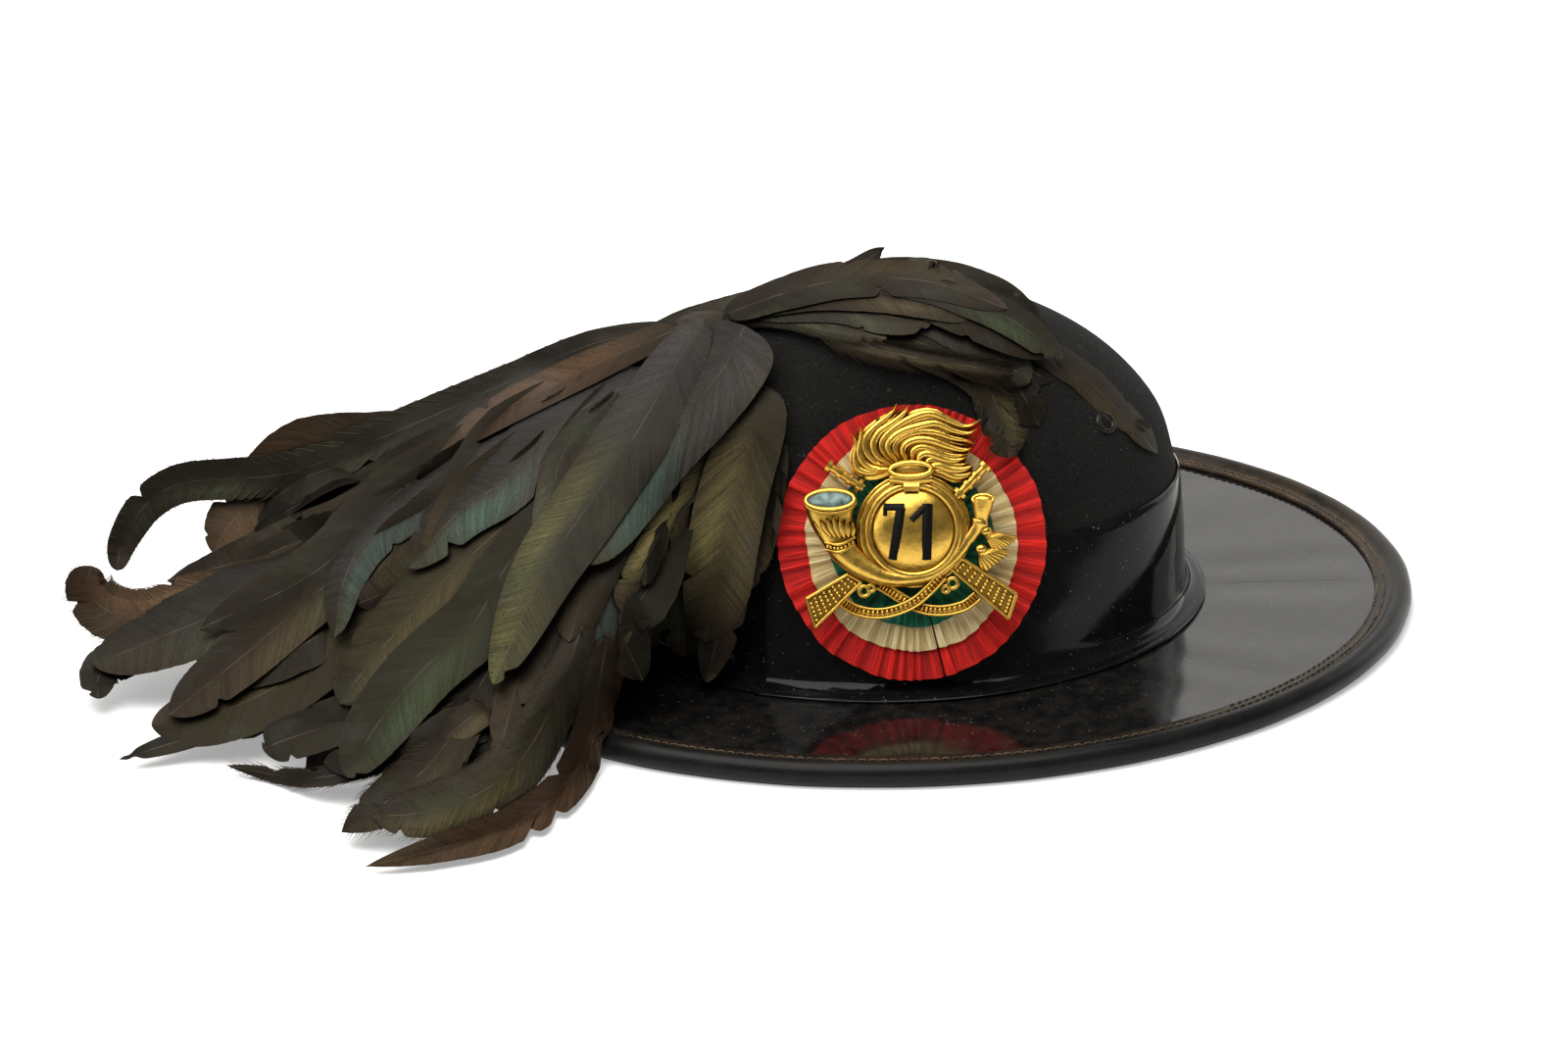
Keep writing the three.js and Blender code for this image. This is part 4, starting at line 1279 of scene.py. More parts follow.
    def add_boss(self, bm: Mesh) -> None:
        """Adds the round boss, the coils of the horn round it, the neck and its collar."""
        self.dome(bm, self.boss, 0.8, self.boss_half, 72, 28)
        for radius, tube, lift in self.coils:
            self.loop(bm, self.boss, lift, (radius, radius), tube, 96)
        right, down = self.neck
        self.loop(bm, self.neck, 4.6, self.neck_half, 1.05, 56, -0.3)
        self.dome(bm, self.neck, 3.4, (self.neck_half[0], self.neck_half[1], 1.2), 32, 10)
        self.bar(bm, [(right - 21, down + 9, 3.6), (right, down + 11, 4.6), (right + 21, down + 9, 3.6)],
                 lambda v: (1.7, 1.6), 16, 10)
        self.bar(bm, [(*pixel, 5.4) for pixel in self.collar], lambda v: (1.7, 1.2), 6, 4)

    def add_horn(self, bm: Mesh) -> None:
        """Adds the horn with its rim, its bands, their beads and the leaves round its bell."""
        radii = [Vector((radius, 0, 0)) for _, _, radius in self.horn]
        route = [(right, down, self.horn_lift) for right, down, _ in self.horn]

        def tube(v: float) -> Pair:
            """Half width and half thickness of the horn, which is flatter at its bell."""
            radius = spline(radii, v).x
            return radius, radius * mix(0.46, 0.9, ease(0.1, 0.55, v))

        self.bar(bm, route, tube, 80, 24)
        right, down = self.mouth
        self.loop(bm, self.mouth, 6.6, self.mouth_half, 0.75, 64, self.mouth_lean)
        self.loop(bm, (right + 0.5, down + 3.5), 6.2, self.mouth_half, 0.65, 64, self.mouth_lean)
        for leaf in range(7):
            spread = (leaf - 3) / 3
            swell = math.sqrt(1.05 - spread**2 * 0.85)
            foot = (857 + spread * 13, 549 - abs(spread) * 2, self.horn_lift + 3.1 * swell)
            tip = (849.5 + spread * 20, 527 + abs(spread) * 5, self.horn_lift + 3.9 * swell)
            self.bar(bm, [foot, tip], lambda v: (1.2 * math.sin(math.pi * (0.12 + 0.84 * v)), 0.8),
                     10, 8, 1.4)
        for down in (553.5, 561):
            band = [(841.5 + (down - 553) * 0.25, down, 3.4), (857, down + 2.0, 6.4), (872, down - 5.5, 3.6)]
            self.bar(bm, band, lambda v: (0.6, 0.7), 20, 8)
        middle = [Vector((843, 557.5, 3.6)), Vector((857, 559.5, 6.3)), Vector((872, 552.5, 3.8))]
        for bead in range(8):
            right, down, out = spline(middle, (bead + 0.5) / 8)
            self.dome(bm, (right, down), out, (0.7, 0.7, 0.7), 8, 6)

    def add_carbines(self, bm: Mesh) -> None:
        """Adds the crossed carbines: barrels with rings, and chequered butts with a raised border."""
        for muzzle, breech in self.barrels:
            start, stop = Vector(muzzle), Vector(breech)
            self.bar(bm, [(*start, 2.0), (*stop, 2.0)], lambda v: (1.55, 1.6), 12, 10)
            for share, half in ((0.05, 2.5), (0.34, 2.1), (0.62, 2.1), (0.88, 2.7)):
                ring = [(*start.lerp(stop, share - 0.045), 2.3), (*start.lerp(stop, share + 0.045), 2.3)]
                self.bar(bm, ring, lambda v, h=half: (h, 2.0), 3, 10)
        for corners in self.butts:
            self.add_butt(bm, [Vector(corner) for corner in corners])

    def add_butt(self, bm: Mesh, corners: Sequence[Vector]) -> None:
        """Adds one butt: a flaring plate, its raised border and rows of scales.

        Args:
            bm: the mesh that receives it.
            corners: its four corners in pixels, two at the stock and two at the heel.
        """
        near, far, far_heel, near_heel = corners

        def spot(across: float, along: float) -> Vector:
            """The pixel at two shares of the plate."""
            return near.lerp(far, across).lerp(near_heel.lerp(far_heel, across), along)

        plate = bmesh.ops.create_cube(bm, size=1.0)["verts"]
        edges = {edge for vert in plate for edge in vert.link_edges}
        bmesh.ops.subdivide_edges(bm, edges=list(edges), cuts=1)
        shares = {vert: vert.co + Vector((0.5, 0.5, 0.5)) for vert in bm.verts if vert.co.length < 1.0}
        for vert, share in shares.items():
            vert.co = self.at(spot(share.x, share.y), mix(0.2, 2.4, share.z))
        rim = [near, far, far_heel, near_heel, near]
        for start, stop in zip(rim, rim[1:]):
            self.bar(bm, [(*start, 2.7), (*stop, 2.7)], lambda v: (0.65, 0.75), 4, 8)
        for row in range(9):
            along = (row + 0.8) / 9.4
            count = 3 + row // 3
            for scale in range(count):
                across = mix(0.12, 0.88, (scale + 0.5 + 0.25 * (-1) ** row) / count)
                self.dome(bm, tuple(spot(across, along)), 2.5, (0.8, 0.8, 0.75), 6, 4)

    def add_cords(self, bm: Mesh) -> None:
        """Adds the two ribbed cord garlands and the scrolls where they start."""
        edge = self.cord_half * self.studio.pixels_per_mm
        for number, stops in enumerate(self.cords):
            lift = 2.2 + 0.9 * number
            curve = [Vector((*pixel, lift)) for pixel in stops]
            ribs = self.cord_ribs
            self.bar(bm, curve, lambda v: (self.cord_half, 1.0 + 0.45 * math.sin(2 * math.pi * ribs * v)),
                     ribs * 5, 10)
            for side in (-edge, edge):
                line = []
                for step in range(13):
                    ahead = heading(curve, step / 12, 0.02)
                    line.append(spline(curve, step / 12) + ahead.cross(UP).normalized() * side + UP * 0.5)
                self.bar(bm, line, lambda v: (0.5, 0.75), 48, 8)
        for number, pixel in enumerate(self.scrolls):
            half = 1.7 if number < 2 else 1.1
            self.loop(bm, pixel, 2.8, (half, half), 0.75, 24)

    def add_right_side(self, bm: Mesh) -> None:
        """Adds the mouthpiece of the horn and the fringed tassels beside it."""
        radii = [Vector((radius, 0, 0)) for _, _, radius in self.cup]
        route = [(right, down, 3.0) for right, down, _ in self.cup]
        self.bar(bm, route, lambda v: (spline(radii, v).x, spline(radii, v).x * 0.75), 48, 16)
        top_right, top_down, top_half = self.cup[-1]
        self.loop(bm, (top_right, top_down), 3.8, (top_half - 0.5, 1.5), 0.65, 32, -0.4)
        self.dome(bm, (top_right, top_down), 3.4, (top_half - 0.4, 1.4, 1.4), 24, 8, -0.4)
        for knot, upper, lower in self.tassels:
            self.dome(bm, (knot[0] + 3, knot[1] + 1), 2.6, (2.0, 1.7, 1.6), 16, 8)
            for strand in range(8):
                share = strand / 7
                end = Vector(upper).lerp(Vector(lower), share)
                middle = Vector(knot).lerp(end, 0.55)
                swell = 1.2 * math.sin(math.pi * share)
                strand_route = [(*knot, 1.9), (*middle, 2.0 + swell), (*end, 1.3 + swell * 0.6)]
                self.bar(bm, strand_route, lambda v: (0.6 + 0.5 * v, 1.0), 12, 6)
            fringe = [(*upper, 1.6), (*Vector(upper).lerp(Vector(lower), 0.5), 2.4), (*lower, 1.6)]
            self.bar(bm, [(*Vector(stop[:2]).lerp(Vector(knot), 0.4), stop[2] + 0.5) for stop in fringe],
                     lambda v: (0.55, 0.7), 10, 8)

    def build_numerals(self) -> None:
        """Makes plain black numerals that stand on the boss."""
        bm = bmesh.new()
        for start, stop, half in self.digits:
            stops = [Vector(start).lerp(Vector(stop), step / 4) for step in range(5)]
            route = [(*spot, self.boss_height(tuple(spot))) for spot in stops]
            self.bar(bm, route, lambda v, h=half: (h, 0.7), 8, 4)
        enamel = PlainFinish("black enamel", (0.003, 0.0028, 0.0025), 0.6, 0.0, 0.3, shine=0.12).material()
        finish_piece("badge_numerals", bm, enamel, "blacked_metal", crease=35)

    def boss_height(self, pixel: Pixel) -> float:
        """How far the boss stands out at a pixel."""
        away = (self.at(pixel, 0) - self.at(self.boss, 0)).length / self.boss_half[0]
        return 0.8 + self.boss_half[2] * math.sqrt(max(0.05, 1 - away * away))

    def build_inlay(self) -> None:
        """Makes the weathered blue-grey disc inside the horn's mouth."""
        bm = bmesh.new()
        half = (self.mouth_half[0] - 0.3, self.mouth_half[1] - 0.3, 0.8)
        self.dome(bm, self.mouth, 6.5, half, 40, 10, self.mouth_lean)
        patina = PlainFinish("weathered patina", (0.12, 0.215, 0.200), 0.3, 0.2, 0.8, 380).material()
        finish_piece("badge_horn_mouth", bm, patina, "brass")


class Tone(Enum):
    """Colours of a feather near its root, along its middle, at its tip and where it flashes: the flash is a
    painted sheen, and a dark root is partly painted shade where other feathers cover it.
    """

    # DARK is nearly black: partly painted shade, for feathers that lie in the shade under others
    DARK = (
        (0.003, 0.0026, 0.0023), (0.0058, 0.0047, 0.0037), (0.0065, 0.0046, 0.0034), (0.013, 0.012, 0.008))
    BROWN = (
        (0.010, 0.0074, 0.0056), (0.026, 0.0175, 0.0108), (0.024, 0.0148, 0.0093), (0.060, 0.046, 0.021))
    GREY = ((0.050, 0.046, 0.046), (0.030, 0.028, 0.024), (0.085, 0.082, 0.034), (0.120, 0.118, 0.048))
    OLIVE = ((0.010, 0.008, 0.006), (0.039, 0.031, 0.0145), (0.026, 0.019, 0.011), (0.105, 0.088, 0.034))
    GOLD = ((0.030, 0.024, 0.015), (0.110, 0.088, 0.040), (0.050, 0.034, 0.022), (0.270, 0.228, 0.086))
    TEAL = ((0.042, 0.038, 0.039), (0.034, 0.032, 0.028), (0.034, 0.030, 0.019), (0.048, 0.090, 0.072))
    GREEN = ((0.006, 0.006, 0.0045), (0.020, 0.022, 0.012), (0.022, 0.020, 0.010), (0.041, 0.061, 0.026))
    SHEEN = ((0.017, 0.0145, 0.0125), (0.028, 0.025, 0.018), (0.027, 0.020, 0.0135), (0.056, 0.062, 0.037))
    RUSSET = ((0.026, 0.016, 0.011), (0.070, 0.037, 0.020), (0.052, 0.028, 0.014), (0.090, 0.052, 0.027))


@dataclass(frozen=True)
class Feather:
    """One feather: its shaft passes these pixels of the photograph, right and down from its corner.

    The width, the lift and the length of the loose barbs are in millimetres. The base is the width at
    the root as a share, the fringe is how ragged the edges are, and a smaller tip makes a blunter end.
    """

    route: tuple[Pixel, ...]
    width: float
    tone: Tone
    base: float = 0.5
    fringe: float = 0.02
    splits: int = 2
    lift: float = 0.0
    flash_at: float = 0.0
    flash_side: int = 0
    barbs: int = 0
    barb_length: float = 5.0
    tip: float = 0.62


# Feathers that fall to the back, from the lowest to the topmost
FALLING = (
    Feather(((640, 356), (690, 334), (745, 317), (800, 299)), 11, Tone.DARK, 0.7),
    Feather(((670, 345), (715, 328), (770, 312), (830, 296)), 12, Tone.SHEEN, 0.7),
    Feather(((560, 378), (450, 432), (384, 449), (309, 459), (267, 496), (234, 534), (216, 564)),
            22, Tone.RUSSET, fringe=0.03, splits=4),
    Feather(((540, 420), (480, 450), (370, 512), (290, 548), (215, 581), (172, 600)), 13, Tone.BROWN),
    Feather(((660, 348), (560, 378), (470, 412), (400, 446)), 14, Tone.DARK),
    Feather(((690, 331), (600, 352), (520, 388), (459, 416), (375, 452), (295, 482), (234, 488),
             (183, 493), (148, 514), (124, 551), (117, 582)),
            14.5, Tone.SHEEN, 0.6, fringe=0.03, splits=3, flash_at=0.5, flash_side=-1,
            barbs=90, barb_length=3.0, tip=0.4),
    Feather(((650, 580), (632, 632), (620, 690), (609, 742)), 11, Tone.RUSSET),
    Feather(((430, 768), (375, 783), (309, 794), (230, 781)),
            7, Tone.DARK, 0.6, fringe=0.05, barbs=80, barb_length=4.0, tip=0.9),
    Feather(((480, 650), (403, 707), (347, 735), (290, 755), (267, 764)), 16, Tone.DARK),
    Feather(((520, 690), (440, 740), (380, 772), (330, 778)), 13, Tone.DARK),
    Feather(((620, 650), (611, 700), (602, 752), (576, 803), (520, 843), (450, 865), (373, 884)),
            14, Tone.RUSSET, 0.7, fringe=0.03, splits=3, lift=3.0, tip=0.9),
    Feather(((600, 620), (571, 702), (534, 772), (487, 810), (430, 829), (380, 833)),
            20, Tone.OLIVE, 0.6, fringe=0.03, splits=3, lift=2.0, barbs=90, barb_length=3.5),
    Feather(((530, 630), (482, 712), (445, 772), (398, 815), (348, 849)),
            18, Tone.BROWN, 0.6, fringe=0.04, splits=3, barbs=90, barb_length=3.5, tip=0.9),
    Feather(((580, 570), (557, 632), (529, 693), (507, 779)), 14, Tone.BROWN),
    Feather(((280, 710), (240, 735), (187, 754), (120, 775)), 8, Tone.DARK, tip=0.9),
    Feather(((500, 550), (430, 600), (356, 646), (281, 700), (211, 730), (153, 740)),
            24, Tone.OLIVE, 0.6),
    Feather(((260, 640), (180, 660), (130, 668), (101, 686), (98, 713)),
            15, Tone.DARK, 0.6, fringe=0.06, splits=3),
    Feather(((420, 500), (330, 556), (250, 598), (201, 612), (150, 630), (108, 623), (88, 600),
             (91, 577)),
            20, Tone.RUSSET, 0.6, fringe=0.05, splits=5, barbs=110, barb_length=4.0, tip=0.45),
    Feather(((560, 410), (490, 445), (422, 487), (328, 552), (234, 618), (150, 655), (93, 678)),
            26, Tone.SHEEN, 0.6),
    Feather(((540, 450), (468, 501), (398, 552), (328, 600), (258, 660), (206, 702), (172, 729)),
            20, Tone.BROWN, 0.6),
    Feather(((620, 440), (550, 505), (496, 552), (436, 609), (375, 679), (346, 718)),
            23, Tone.OLIVE, 0.6, splits=4),
    Feather(((600, 520), (540, 560), (515, 578), (455, 628)), 10, Tone.TEAL),
    Feather(((570, 500), (515, 580), (482, 637), (431, 683), (384, 740), (353, 793)),
            24, Tone.GREEN, 0.6, splits=1, flash_at=0.55, flash_side=-1),
    Feather(((660, 378), (575, 415), (515, 447), (450, 496), (386, 538), (353, 585), (341, 650)),
            18, Tone.TEAL, 0.6, flash_at=0.66, flash_side=-1),
    Feather(((660, 385), (605, 410), (555, 447), (515, 490), (468, 522), (416, 579)),
            22, Tone.TEAL, 0.6, splits=4, flash_at=0.6, flash_side=-1),
    Feather(((700, 540), (698, 609), (698, 670)), 14, Tone.SHEEN),
    Feather(((690, 560), (668, 610), (664, 660)), 12, Tone.GREEN),
    Feather(((650, 500), (628, 560), (609, 618), (595, 679), (603, 730), (609, 768)), 18, Tone.TEAL, 0.6),
    Feather(((660, 490), (623, 552), (596, 604), (580, 655)), 17, Tone.BROWN, 0.6),
    Feather(((742, 440), (706, 503), (672, 562), (650, 600), (634, 624)),
            16, Tone.GOLD, 0.7, splits=1, flash_at=0.32, flash_side=1),
    Feather(((784, 402), (786, 470), (776, 540), (760, 604)), 13, Tone.BROWN, 0.8),
    Feather(((765, 372), (752, 450), (747, 540), (738, 620), (721, 696)), 17, Tone.BROWN, 0.8),
    Feather(((778, 392), (764, 450), (748, 504), (738, 552), (731, 601), (719, 655)),
            25, Tone.GOLD, 0.9, splits=1, flash_at=0.4, flash_side=1),
    Feather(((630, 400), (576, 459), (562, 515), (553, 563)), 12, Tone.SHEEN),
    Feather(((690, 334), (610, 370), (545, 397), (500, 420)), 12, Tone.GREY, 0.7),
    Feather(((692, 335), (628, 362), (562, 393), (500, 425), (450, 459)),
            12, Tone.RUSSET, 0.7, fringe=0.0, splits=1, flash_at=0.35, flash_side=1),
    Feather(((760, 332), (742, 370), (708, 413), (670, 453), (632, 502), (602, 540), (578, 570)),
            29, Tone.TEAL, 1.0, splits=1, flash_at=0.5, flash_side=-1),
    Feather(((719, 326), (688, 374), (650, 440), (600, 515), (551, 590), (503, 698)),
            25, Tone.GREY, 0.55, fringe=0.0, splits=1, flash_at=0.56, flash_side=1),
)

# Feathers that lie forwards over the crown, from the lowest to the topmost
CREST = (
    Feather(((700, 338), (800, 305), (900, 290), (1010, 320)), 15, Tone.DARK),
    Feather(((721, 331), (812, 297), (897, 275), (964, 277), (1015, 291), (1050, 307)),
            8, Tone.BROWN, 0.7),
    Feather(((900, 284), (985, 293), (1030, 309), (1062, 328)), 10, Tone.DARK, 0.3),
    Feather(((800, 302), (870, 273), (903, 252)), 6, Tone.DARK, tip=0.95),
    Feather(((960, 345), (1000, 362), (1032, 390), (1049, 416), (1060, 436)),
            12, Tone.DARK, 0.6, fringe=0.15),
    Feather(((930, 350), (998, 386), (1018, 416), (1025, 443), (1030, 466)),
            15, Tone.OLIVE, 0.7, fringe=0.04, splits=4, flash_at=0.5, flash_side=-1,
            barbs=40, barb_length=2.5),
    Feather(((900, 330), (980, 350), (1040, 372), (1073, 388)), 10, Tone.DARK),
    Feather(((1000, 326), (1055, 352), (1103, 383), (1145, 423), (1168, 462)),
            10.5, Tone.BROWN, 0.8, fringe=0.0, splits=0, flash_at=0.6, flash_side=1, tip=0.85),
    Feather(((740, 318), (812, 322), (880, 331), (940, 350), (1000, 372)), 14, Tone.DARK),
    Feather(((840, 306), (937, 322), (981, 341), (1032, 375), (1050, 391)), 13, Tone.TEAL, 0.7),
    Feather(((741, 317), (812, 322), (863, 347), (930, 364), (998, 375), (1034, 382)),
            5.5, Tone.BROWN, 0.7, fringe=0.04, splits=3, flash_at=0.5, flash_side=1,
            barbs=300, barb_length=8.5),
    Feather(((738, 321), (790, 320), (850, 332), (905, 345)),
            9, Tone.SHEEN, 0.8, fringe=0.05, splits=3, flash_at=0.4, flash_side=1,
            barbs=150, barb_length=5.5),
    Feather(((760, 316), (856, 312), (897, 321), (950, 330)), 13, Tone.SHEEN, 0.7),
    Feather(((820, 296), (910, 297), (998, 330), (1067, 364)), 13, Tone.BROWN, 0.7),
    Feather(((744, 316), (830, 300), (890, 299), (950, 308), (992, 324)), 13, Tone.BROWN, 0.7),
    Feather(((890, 294), (970, 301), (1035, 328), (1084, 367)),
            12, Tone.GREEN, 0.3, flash_at=0.5, flash_side=1),
    Feather(((740, 320), (800, 299), (863, 285), (947, 287), (1028, 315)), 13, Tone.BROWN, 0.7),
)


@dataclass
class Drape:
    """A smooth sheet over the solids, as the photograph's camera sees them; feathers are laid on it."""

    studio: Studio
    floor_gap: float
    left: float = 40
    top: float = 220
    cell: float = 12
    columns: int = 98
    rows: int = 60
    sink: float = 6.0
    room: float = 0.6
    blurs: int = 5
    carriers: tuple[str, ...] = ("crown", "hat_band", "cockade_red", "brim", "brim_edge")

    def __post_init__(self) -> None:
        """Finds how far to the viewer's side the solids lie, fills round them and smooths the sheet."""
        grounds = ((self.surface(["plume"]), -self.sink), (self.surface(self.carriers), self.room))
        cells = [(column, row) for column in range(self.columns) for row in range(self.rows)]
        sides: dict[tuple[int, int], float] = {}
        for column, row in cells:
            ray = self.ray(self.left + column * self.cell, self.top + row * self.cell).normalized()
            hits = [(tree.ray_cast(self.studio.eye * MM, ray)[0], room) for tree, room in grounds]
            found = [-hit.y / MM + room for hit, room in hits if hit is not None]
            if found:
                sides[column, row] = max(found)
        while len(sides) < len(cells):
            sides.update({cell: self.mean(sides, cell) for cell in cells
                          if cell not in sides and self.mean(sides, cell) is not None})
        for _ in range(self.blurs):
            sides = {cell: self.mean(sides, cell) for cell in cells}
        self.sides = sides

    def surface(self, names: Sequence[str]) -> BVHTree:
        """The joined surface of some solids, in metres."""
        bm = bmesh.new()
        for name in names:
            bm.from_mesh(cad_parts[name].data)
        tree = BVHTree.FromBMesh(bm)
        bm.free()
        return tree

    def mean(self, sides: dict[tuple[int, int], float], cell: tuple[int, int]) -> float | None:
        """The mean of the known values at a cell and round it, or None where there are none."""
        steps = (-1, 0, 1)
        near = [sides.get((cell[0] + right, cell[1] + down)) for right in steps for down in steps]
        known = [side for side in near if side is not None]
        return sum(known) / len(known) if known else None

    def ray(self, right: float, down: float) -> Vector:
        """The way from the camera through a pixel."""
        return self.studio.unproject(right, down, 0) - self.studio.eye

    def side(self, right: float, down: float) -> float:
        """How far to the wearer's right the sheet lies at a pixel, on or above the floor."""
        column = min(max((right - self.left) / self.cell, 0.0), self.columns - 1.01)
        row = min(max((down - self.top) / self.cell, 0.0), self.rows - 1.01)
        x, y = int(column), int(row)
        upper = mix(self.sides[x, y], self.sides[x + 1, y], column - x)
        lower = mix(self.sides[x, y + 1], self.sides[x + 1, y + 1], column - x)
        ray, eye = self.ray(right, down), self.studio.eye
        floor = -(eye + ray * ((self.floor_gap - eye.z) / ray.z)).y
        return max(mix(upper, lower, row - y), floor)


@dataclass(frozen=True)
class Lie:
    """How a lock's feathers lie: shares of its length, and millimetres off its face."""

    shortest: float
    longest: float
    deepest: float
    highest: float


@dataclass
class Plume:
    """Cock feathers bound at a head on the crown: those that the photograph shows, and those under them.

    A row of locks holds a lock's middle and its tip, each back, right and up, and its width.
    """

    studio: Studio
    crown: Crown
    cockade: Cockade
    brim: Brim
    head: Vector = field(default_factory=lambda: Vector((-60, -2, 106)))
    head_halves: Triple = (15, 11, 6)
    seen_cells: tuple[int, int] = (8, 128)
    under_cells: tuple[int, int] = (6, 30)
    shaft_half: float = 0.45
    floor_gap: float = 0.9
    layer_step: float = 0.85
    overlap: float = 0.42
    felt_room: float = 1.4
    band_room: float = 3.4
    band_top: float = 52
    cockade_room: float = 5.2
    brim_room: float = 5.5
    brim_height: float = 9.8
    brim_fall: float = 1.06
    ridge: float = 12
    ridge_half: float = 40
    hang_from: float = 6
    hang_to: float = 60
    face_out: Pair = (0.45, 0.95)
    face_up: Pair = (0.9, 0.5)
    face_back: float = -0.12
    front_lie: Lie = Lie(0.42, 0.7, -14.0, -9.0)
    root_lie: Lie = Lie(0.75, 1.0, -13.0, -8.0)
    far_lie: Lie = Lie(0.7, 0.97, -5.0, -0.5)
    near_lie: Lie = Lie(0.6, 0.85, -17.0, -10.0)
    root_from: float = 0.5
    root_to: float = 1.1
    root_width: float = 0.8
    # painted shade: the near side's under-feathers are nearly all DARK, standing for the shade between the
    # seen feathers
    near_tones: tuple[Tone, ...] = (Tone.DARK, Tone.DARK, Tone.DARK, Tone.DARK, Tone.BROWN)
    far_tones: tuple[Tone, ...] = (Tone.DARK, Tone.BROWN, Tone.SHEEN, Tone.BROWN, Tone.GREEN)
    companions: int = 4
    far_companions: int = 8
    locks: tuple[tuple[float, ...], ...] = (
        (168, -8, 66, 264, 4, 22, 30), (158, -30, 60, 232, -20, 14, 36), (170, 24, 52, 272, 36, 14, 34),
        (182, 52, 38, 267, 80, 8, 32), (156, 44, 64, 250, 100, 9, 36), (162, 70, 45, 238, 118, 8, 34),
        (122, 45, 86, 190, 92, 34, 38), (128, 70, 72, 186, 110, 22, 38), (130, 82, 53, 184, 136, 9, 36),
        (92, 61, 91, 135, 105, 30, 38), (74, 64, 87, 96, 92, 41, 34), (90, 97, 62, 104, 118, 20, 32),
        (112, 101, 54, 136, 138, 12, 32), (118, 123, 38, 180, 180, 7, 28), (150, 106, 32, 218, 132, 8, 32),
        (146, -24, 64, 222, -56, 14, 36), (126, -42, 68, 184, -88, 18, 38), (92, -54, 76, 124, -104, 24, 38),
        (10, -8, 122, -46, -4, 114, 34), (26, 14, 119, -54, 24, 106, 32), (10, -27, 117, -36, -36, 103, 32),
        (14, -18, 121, -52, -14, 112, 30), (2, 4, 123, -58, 10, 111, 30),
    )

    def __post_init__(self) -> None:
        """Lays the sheet that carries the seen feathers."""
        self.drape = Drape(self.studio, self.floor_gap)

    def rest(self, point: Vector) -> Vector:
        """Keeps a point clear of the crown, band, cockade, brim and floor."""
        point = self.crown.outside(point, self.band_room if point.z < self.band_top else self.felt_room)
        point = self.cockade.outside(point, self.cockade_room)
        reach = math.hypot((point.x - self.brim.forward) / (self.brim.half_length + self.brim_room),
                           point.y / (self.brim.half_width + self.brim_room))
        floor = mix(self.brim_height, self.floor_gap, ease(1.0, self.brim_fall, reach))
        return Vector((point.x, point.y, max(point.z, floor)))

    def facing_at(self, point: Vector) -> Vector:
        """The way that a feather looks at a point: up where it lies, out on its own side where it hangs."""
        side = -max(-1.0, min(1.0, (-point.y + self.ridge) / self.ridge_half))
        hang = ease(self.hang_from, self.hang_to, point.z)
        out, up = mix(*self.face_out, hang), mix(*self.face_up, hang)
        return Vector((self.face_back, side * out, up)).normalized()

    def lay_feather(
        self, bm: Mesh, feather: Feather, length: float, cells: tuple[int, int],
        chance: random.Random, spot: Callable[[float, float, float, float], Vector],
    ) -> None:
        """Adds one feather: a cupped vane with a shaft, split edges and a closed thin section.

        Args:
            bm: the mesh that receives it.
            feather: its width, tone, fringe and barbs.
            length: its length in millimetres.
            cells: cells across one face and along the feather.
            chance: the source of its unevenness.
            spot: gives a point from a share of the length, millimetres across, below and out of the shaft.
        """
        offset = Vector((chance.uniform(-99, 99), chance.uniform(-99, 99), 0))
        cup = chance.uniform(0.03, 0.08)
        slant = feather.width * 0.85 / length
        splits = [(chance.choice((-1, 1)), chance.uniform(0.35, 0.97), chance.uniform(0.15, 0.6))
                  for _ in range(feather.splits)]
        # where the painted sheen flashes along the feather, and on which side the painted light falls
        shine = feather.flash_at or chance.uniform(0.38, 0.62)
        lit_side = feather.flash_side or chance.choice((-1, 1))
        colours = [Vector(colour) * chance.uniform(0.8, 1.2) for colour in feather.tone.value]

        def half_width(v: float, side: float) -> float:
            """Half the vane's width at a share of the length, on one side."""
            narrowing = max(0.0, (v - 0.4) / 0.6)
            full = mix(feather.base, 1.0, ease(0.0, 0.3, v)) * (1 - narrowing**3) ** feather.tip
            full *= math.sqrt(1 - (1 - min(1.0, v / 0.09)) ** 2)
            full *= 1 + feather.fringe * noise.noise(offset + Vector((side * 7, v * length * 0.4, 0)))
            for split_side, split_at, depth in splits:
                if split_side == side:
                    full *= 1 - depth * math.exp(-((v - split_at) * length / 1.9) ** 2)
            return feather.width / 2 * max(full, 0.03)

        def across_at(u: float) -> float:
            """Where a share round the vane lies: -1 and 1 are its edges, 0 its shaft."""
            return u * 4 - 1 if u <= 0.5 else 3 - u * 4

        def place(u: float, v: float) -> Vector:
            """A point of the vane: across the upper face, then back below."""
            across = across_at(u)
            run = min(1.0, v + slant * abs(across) * ease(0.0, 0.3, v) * (1 - v * v))
            away = across * half_width(v, math.copysign(1, across))
            sway = noise.noise(offset + Vector((across * 0.7, v * length * 0.02, 5)))
            flutter = sway * feather.width * 0.04
            drop = cup * feather.width * (across * across) * 0.5 - flutter * abs(across)
            thick = mix(self.shaft_half * (1.1 - run), 0.1, min(1.0, abs(across) * 4)) * (abs(across) < 0.999)
            return spot(run, away, drop, thick if u <= 0.5 else -thick)

        def grain(u: float, v: float) -> Pair:
            """Millimetres across from the shaft, and along the barbs, which slant forwards."""
            across = across_at(u)
            return across * half_width(v, math.copysign(1, across)), v * length + offset.x

